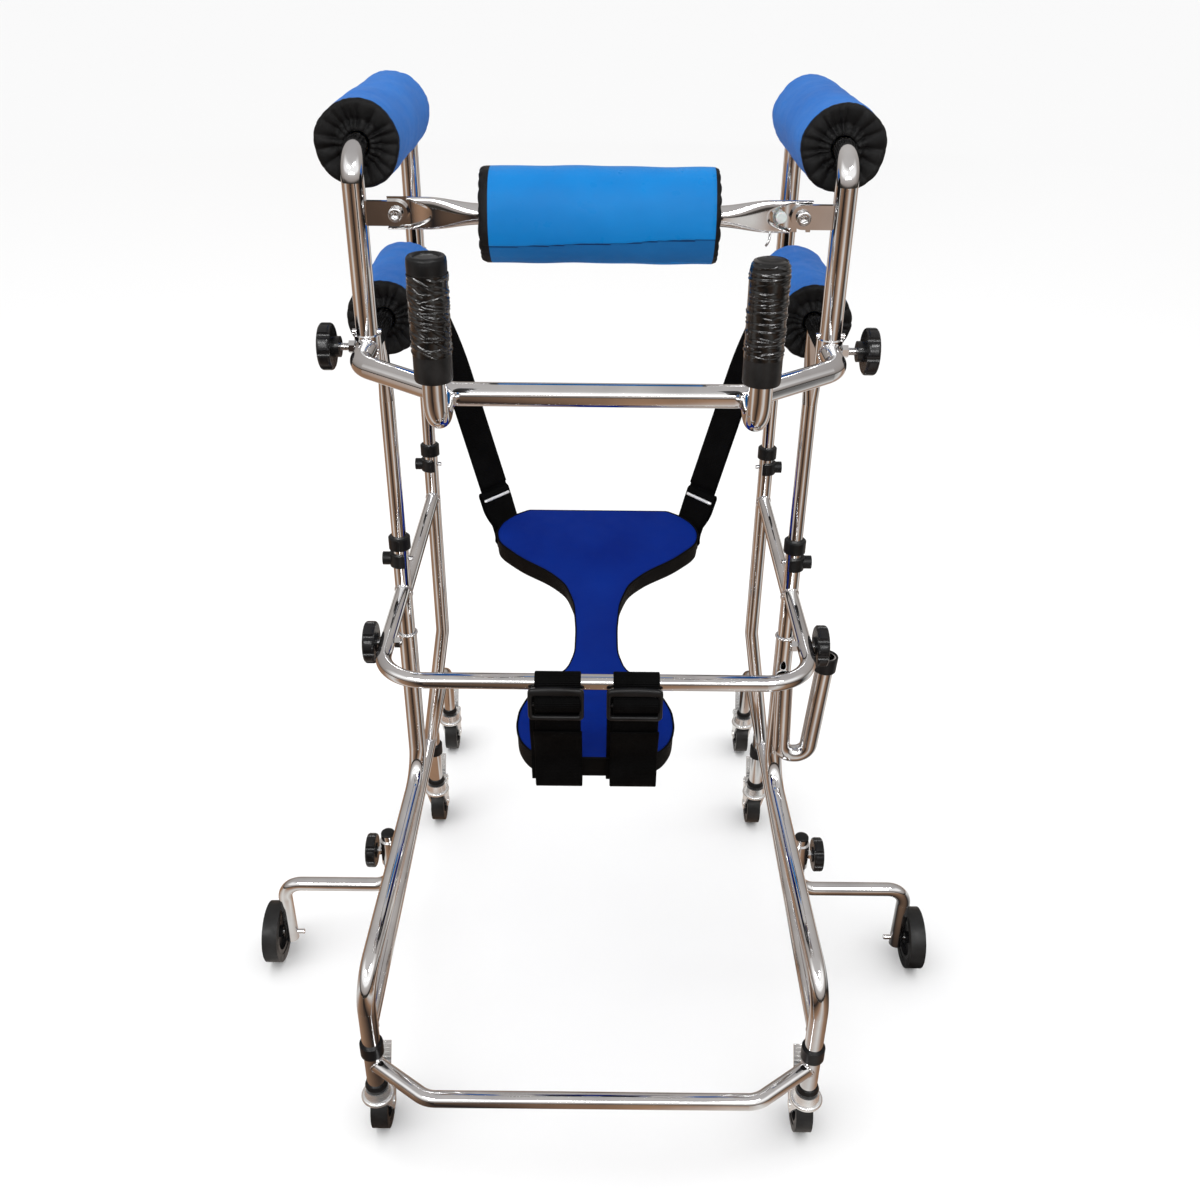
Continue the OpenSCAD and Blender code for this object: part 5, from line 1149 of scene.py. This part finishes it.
def pressed_section(x, count=96):
    """The ring of the tube at x: round, then pressed flat, then with the pocket pushed in."""
    far = abs(x)
    t = min(max((far - 0.128) / 0.06, 0), 1)
    flat = t * t * (3 - 2 * t)
    tall, front, back = 0.011 + 0.006 * flat, 0.011 - 0.0075 * flat, 0.011 - 0.0021 * flat
    a = np.linspace(0, 2 * math.pi, count, endpoint=False)
    c, s = np.cos(a), np.sin(a)
    square = 1 - 0.42 * flat
    z = tall * np.sign(s) * np.abs(s) ** square
    y = np.where(c < 0, front, back) * np.sign(c) * np.abs(c) ** square
    high = 0.0134 * math.sqrt(min(max((far - 0.1815) / 0.026, 0), 1))
    deep = min(max((far - 0.18) / 0.027, 0), 1)
    push = np.clip((high + 0.0026 - np.abs(z)) / 0.0026, 0, 1) * deep
    push = push * push * (3 - 2 * push)
    opened = min(max((far - 0.2065) / 0.003, 0), 1)
    push = np.maximum(push, opened * (z > 0 if x < 0 else z < 0))
    if x > 0:
        ring = np.hypot(x - 0.197, z)
        push = np.maximum(push, 0.75 * np.clip((0.0088 - ring) / 0.0012, 0, 1))
    plate = 0.0039
    y = np.where(y < plate, y + (plate - y) * push, y)
    slot = 0.0049
    if x > 0 and abs(x - BOLT_X) < slot:
        z = np.maximum(z, math.sqrt(slot ** 2 - (x - BOLT_X) ** 2))
    return np.stack([np.full(count, x), chest_y + y, chest_z + z], 1)


half_way = np.concatenate([np.linspace(0, 0.126, 8), np.linspace(0.129, 0.178, 26), np.linspace(0.1785, 0.2155, 75),
                           [BOLT_X - 0.00491], BOLT_X + np.linspace(-0.00489, 0.00489, 21), [BOLT_X + 0.00491],
                           np.linspace(0.2263, 0.231, 8)])
along = np.concatenate([-half_way[::-1], half_way[1:]])
chest_tube = skin("chest_bar_tube", [pressed_section(x) for x in along], [chrome_plate], caps=True)
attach(chest_tube, "chest")
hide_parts("chest_bar")
spring = [(0.186, -0.002, -0.0155), (0.1862, -0.004, -0.019), (0.1855, -0.0065, -0.0225), (0.184, -0.008, -0.0265),
          (0.182, -0.007, -0.0295)]
spring = np.array(spring) + np.array([0, chest_y, chest_z])
hook = cord_round("latch_spring_end", spring, 0.0026, bolt_steel)
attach(hook, "chest")
print("chest bar sections:", len(along))

# %% [markdown]
# ## Small fasteners
# The chest bar's bolts have round heads with a hexagon socket, and the bolts of the armpit knobs show a few turns of
# thread between nut and knob. Both sit on solids that are already there: a head gets a thin cap, a bolt gets ridges.
# The upper ends of the outrigger tubes are closed with domed plugs.

# %% Bolt heads and threads


def socket_cap(name, centre, body):
    """A round bolt head with a hexagon socket, facing the front."""
    turn = np.linspace(0, 2 * math.pi, 48, endpoint=False)
    hexagon = 0.0034 / np.cos((turn + math.pi / 6) % (math.pi / 3) - math.pi / 6)
    rings = []
    for r, depth in ((0.0076, 0.0), (0.0077, 0.0012), (0.0073, 0.0019), (0.006, 0.0023), (hexagon + 0.0004, 0.0023),
                     (hexagon, 0.0019), (hexagon, 0.0006), (hexagon * 0.05, 0.0005)):
        rr = np.broadcast_to(r, turn.shape)
        x, z = centre[0] + rr * np.cos(turn), centre[2] + rr * np.sin(turn)
        rings.append(np.stack([x, np.full(48, centre[1] - depth), z], 1))
    cap = skin(name, rings, [bolt_steel], caps=True)
    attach(cap, body)


def bolt_thread(name, start, stop, centre, body):
    """A few turns of thread along X."""
    turn = np.linspace(0, 2 * math.pi, 28, endpoint=False)
    rings = []
    for x in np.arange(start, stop, 0.0002):
        r = 0.00395 + 0.0004 * np.cos(2 * math.pi * (x / 0.00125) - turn)
        rings.append(np.stack([np.full(28, x), centre[0] + r * np.cos(turn), centre[1] + r * np.sin(turn)], 1))
    thread = skin(name, rings, [bolt_steel], caps=True)
    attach(thread, body)


def end_plug(name, centre, body):
    """A domed plug on an upright tube end."""
    profile = [(0.0092, -0.006), (0.0094, -0.0004), (0.0108, 0.0002), (0.0109, 0.0012), (0.0103, 0.0024),
               (0.0086, 0.0034), (0.005, 0.004), (0.0004, 0.0042)]
    plug = lathe(name, profile, centre, [moulded_black], 40)
    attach(plug, body)


SLEEVE_R = 0.01505
for side, sign in (("left", -1), ("right", 1)):
    low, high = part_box(f"{side}_outrigger_arm")
    inner = high.x - 0.011 if sign < 0 else low.x + 0.011
    end_plug(f"{side}_outrigger_plug", (inner, (low.y + high.y) / 2, high.z), f"{side}_outrigger")
    socket_cap(f"{side}_chest_bolt_cap", (sign * BOLT_X, chest_y - 0.0085, chest_z), f"{side}_armpit")
    low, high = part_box(f"{side}_armpit_knob")
    nut_face = POST_X + SLEEVE_R + 0.0072
    reach = sorted((sign * nut_face, sign * (nut_face + 0.0096)))
    bolt_thread(f"{side}_knob_thread", *reach, ((low.y + high.y) / 2, (low.z + high.z) / 2), f"{side}_armpit_knob")
print("caps: 2, threads: 2, plugs: 2")

# %% [markdown]
# ## Weld beads
# Where one tube ends on another, the real frame has a small ring of weld under the chrome. The bead follows the curve
# where the two tubes meet: for each angle round the branch tube, the point is slid along the branch until its distance
# to the other tube's axis equals that tube's radius.

# %% Helper: the curve where two tubes meet


def meeting_curve(start, ahead, r_branch, on_main, main_axis, r_main, count=40):
    """Points on the main tube where a branch that starts at start and runs ahead meets it."""
    ahead = np.array(ahead, float) / np.linalg.norm(ahead)
    main_axis = np.array(main_axis, float) / np.linalg.norm(main_axis)
    side = np.cross(ahead, main_axis)
    side /= np.linalg.norm(side)
    other = np.cross(ahead, side)
    points = []
    for a in np.linspace(0, 2 * math.pi, count, endpoint=False):
        base = np.array(start) + r_branch * (math.cos(a) * side + math.sin(a) * other)
        off = base - np.array(on_main)
        off -= main_axis * (off @ main_axis)
        flat = ahead - main_axis * (ahead @ main_axis)
        qa, qb, qc = flat @ flat, 2 * off @ flat, off @ off - r_main ** 2
        root = max(qb * qb - 4 * qa * qc, 0.0)
        points.append(base + ahead * ((-qb - math.sqrt(root)) / (2 * qa)))
    return np.array(points)


print("curve helper ready")

# %% Weld beads
welds = {"base_frame": [], "upper_frame": []}
POST, LEG = 0.01105, 0.01255
LEG_X, FRONT_POST_Y, REAR_POST_Y = 0.302, -0.118, 0.195
up = (0, 0, 1)
for sign in (-1, 1):
    px, lx = sign * POST_X, sign * LEG_X
    welds["base_frame"] += [
        meeting_curve((px, -0.05, 0.712), (0, -1, 0), 0.010, (px, FRONT_POST_Y, 0.7), up, POST),
        meeting_curve((px, 0.12, 0.712), (0, 1, 0), 0.010, (px, REAR_POST_Y, 0.7), up, POST),
        meeting_curve((px, -0.2, 0.722), (0, 1, 0), 0.010, (px, FRONT_POST_Y, 0.7), up, POST),
        meeting_curve((lx, -0.3, 0.22), (0, -1, 0), 0.011, (lx, -0.44, 0.2), up, LEG),
        meeting_curve((sign * 0.262, -0.469, 0.152), (sign * 0.08, 0.058, 0), 0.011, (lx, -0.44, 0.2), up, LEG),
        meeting_curve((sign * 0.29, 0.195, 0.3), (sign * 0.037, 0, -0.2345), 0.0108, (lx, 0, 0.22), (0, 1, 0), 0.011),
        np.array([(px + LEG * math.cos(a), FRONT_POST_Y + LEG * math.sin(a), 0.651)
                  for a in np.linspace(0, 2 * math.pi, 40, endpoint=False)]),
    ]
    welds["upper_frame"] += [
        meeting_curve((px, -0.24, arm_z), (0, 1, 0), arm_r, (px, chest_y, arm_z), up, SLEEVE_R),
        meeting_curve((px, -0.15, arm_z), (0, -1, 0), arm_r, (px, chest_y, arm_z), up, SLEEVE_R),
        meeting_curve((px, 0.15, arm_z), (0, 1, 0), arm_r, (px, REAR_POST_Y, arm_z), up, SLEEVE_R),
        meeting_curve((sign * HANDLE_X, -0.40, 1.0743), (0, 65, 20), 0.012, (0, -0.349, arm_z), (1, 0, 0), arm_r),
    ]
BEAD, BEAD_LONG, BEAD_ROUND, RIPPLES = 0.0034, 120, 8, 20
for body, curves in welds.items():
    made = []
    for k, curve in enumerate(curves):
        fine, _ = spline(np.vstack([curve, curve[:1]]), BEAD_LONG + 1)
        fine = fine[:-1]
        ripple = 1 + 0.16 * np.sin(np.arange(BEAD_LONG) * 2 * math.pi * RIPPLES / BEAD_LONG + k)
        bead = cord_round(f"weld_{body}_{k}", fine, BEAD, chrome_plate, BEAD_ROUND, loop=True)
        places = np.array([v.co for v in bead.data.vertices]).reshape(BEAD_LONG, BEAD_ROUND, 3)
        core = places.mean(1, keepdims=True)
        places = core + (places - core) * ripple[:, None, None]
        bead.data.vertices.foreach_set("co", places.astype(np.float32).ravel())
        made.append(bead)
    with bpy.context.temp_override(active_object=made[0], selected_editable_objects=made, selected_objects=made):
        bpy.ops.object.join()
    made[0].name = f"{body}_weld_beads"
    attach(made[0], body)
    print(made[0].name, len(curves), "beads")

# %% Update the scene
bpy.context.view_layer.update()
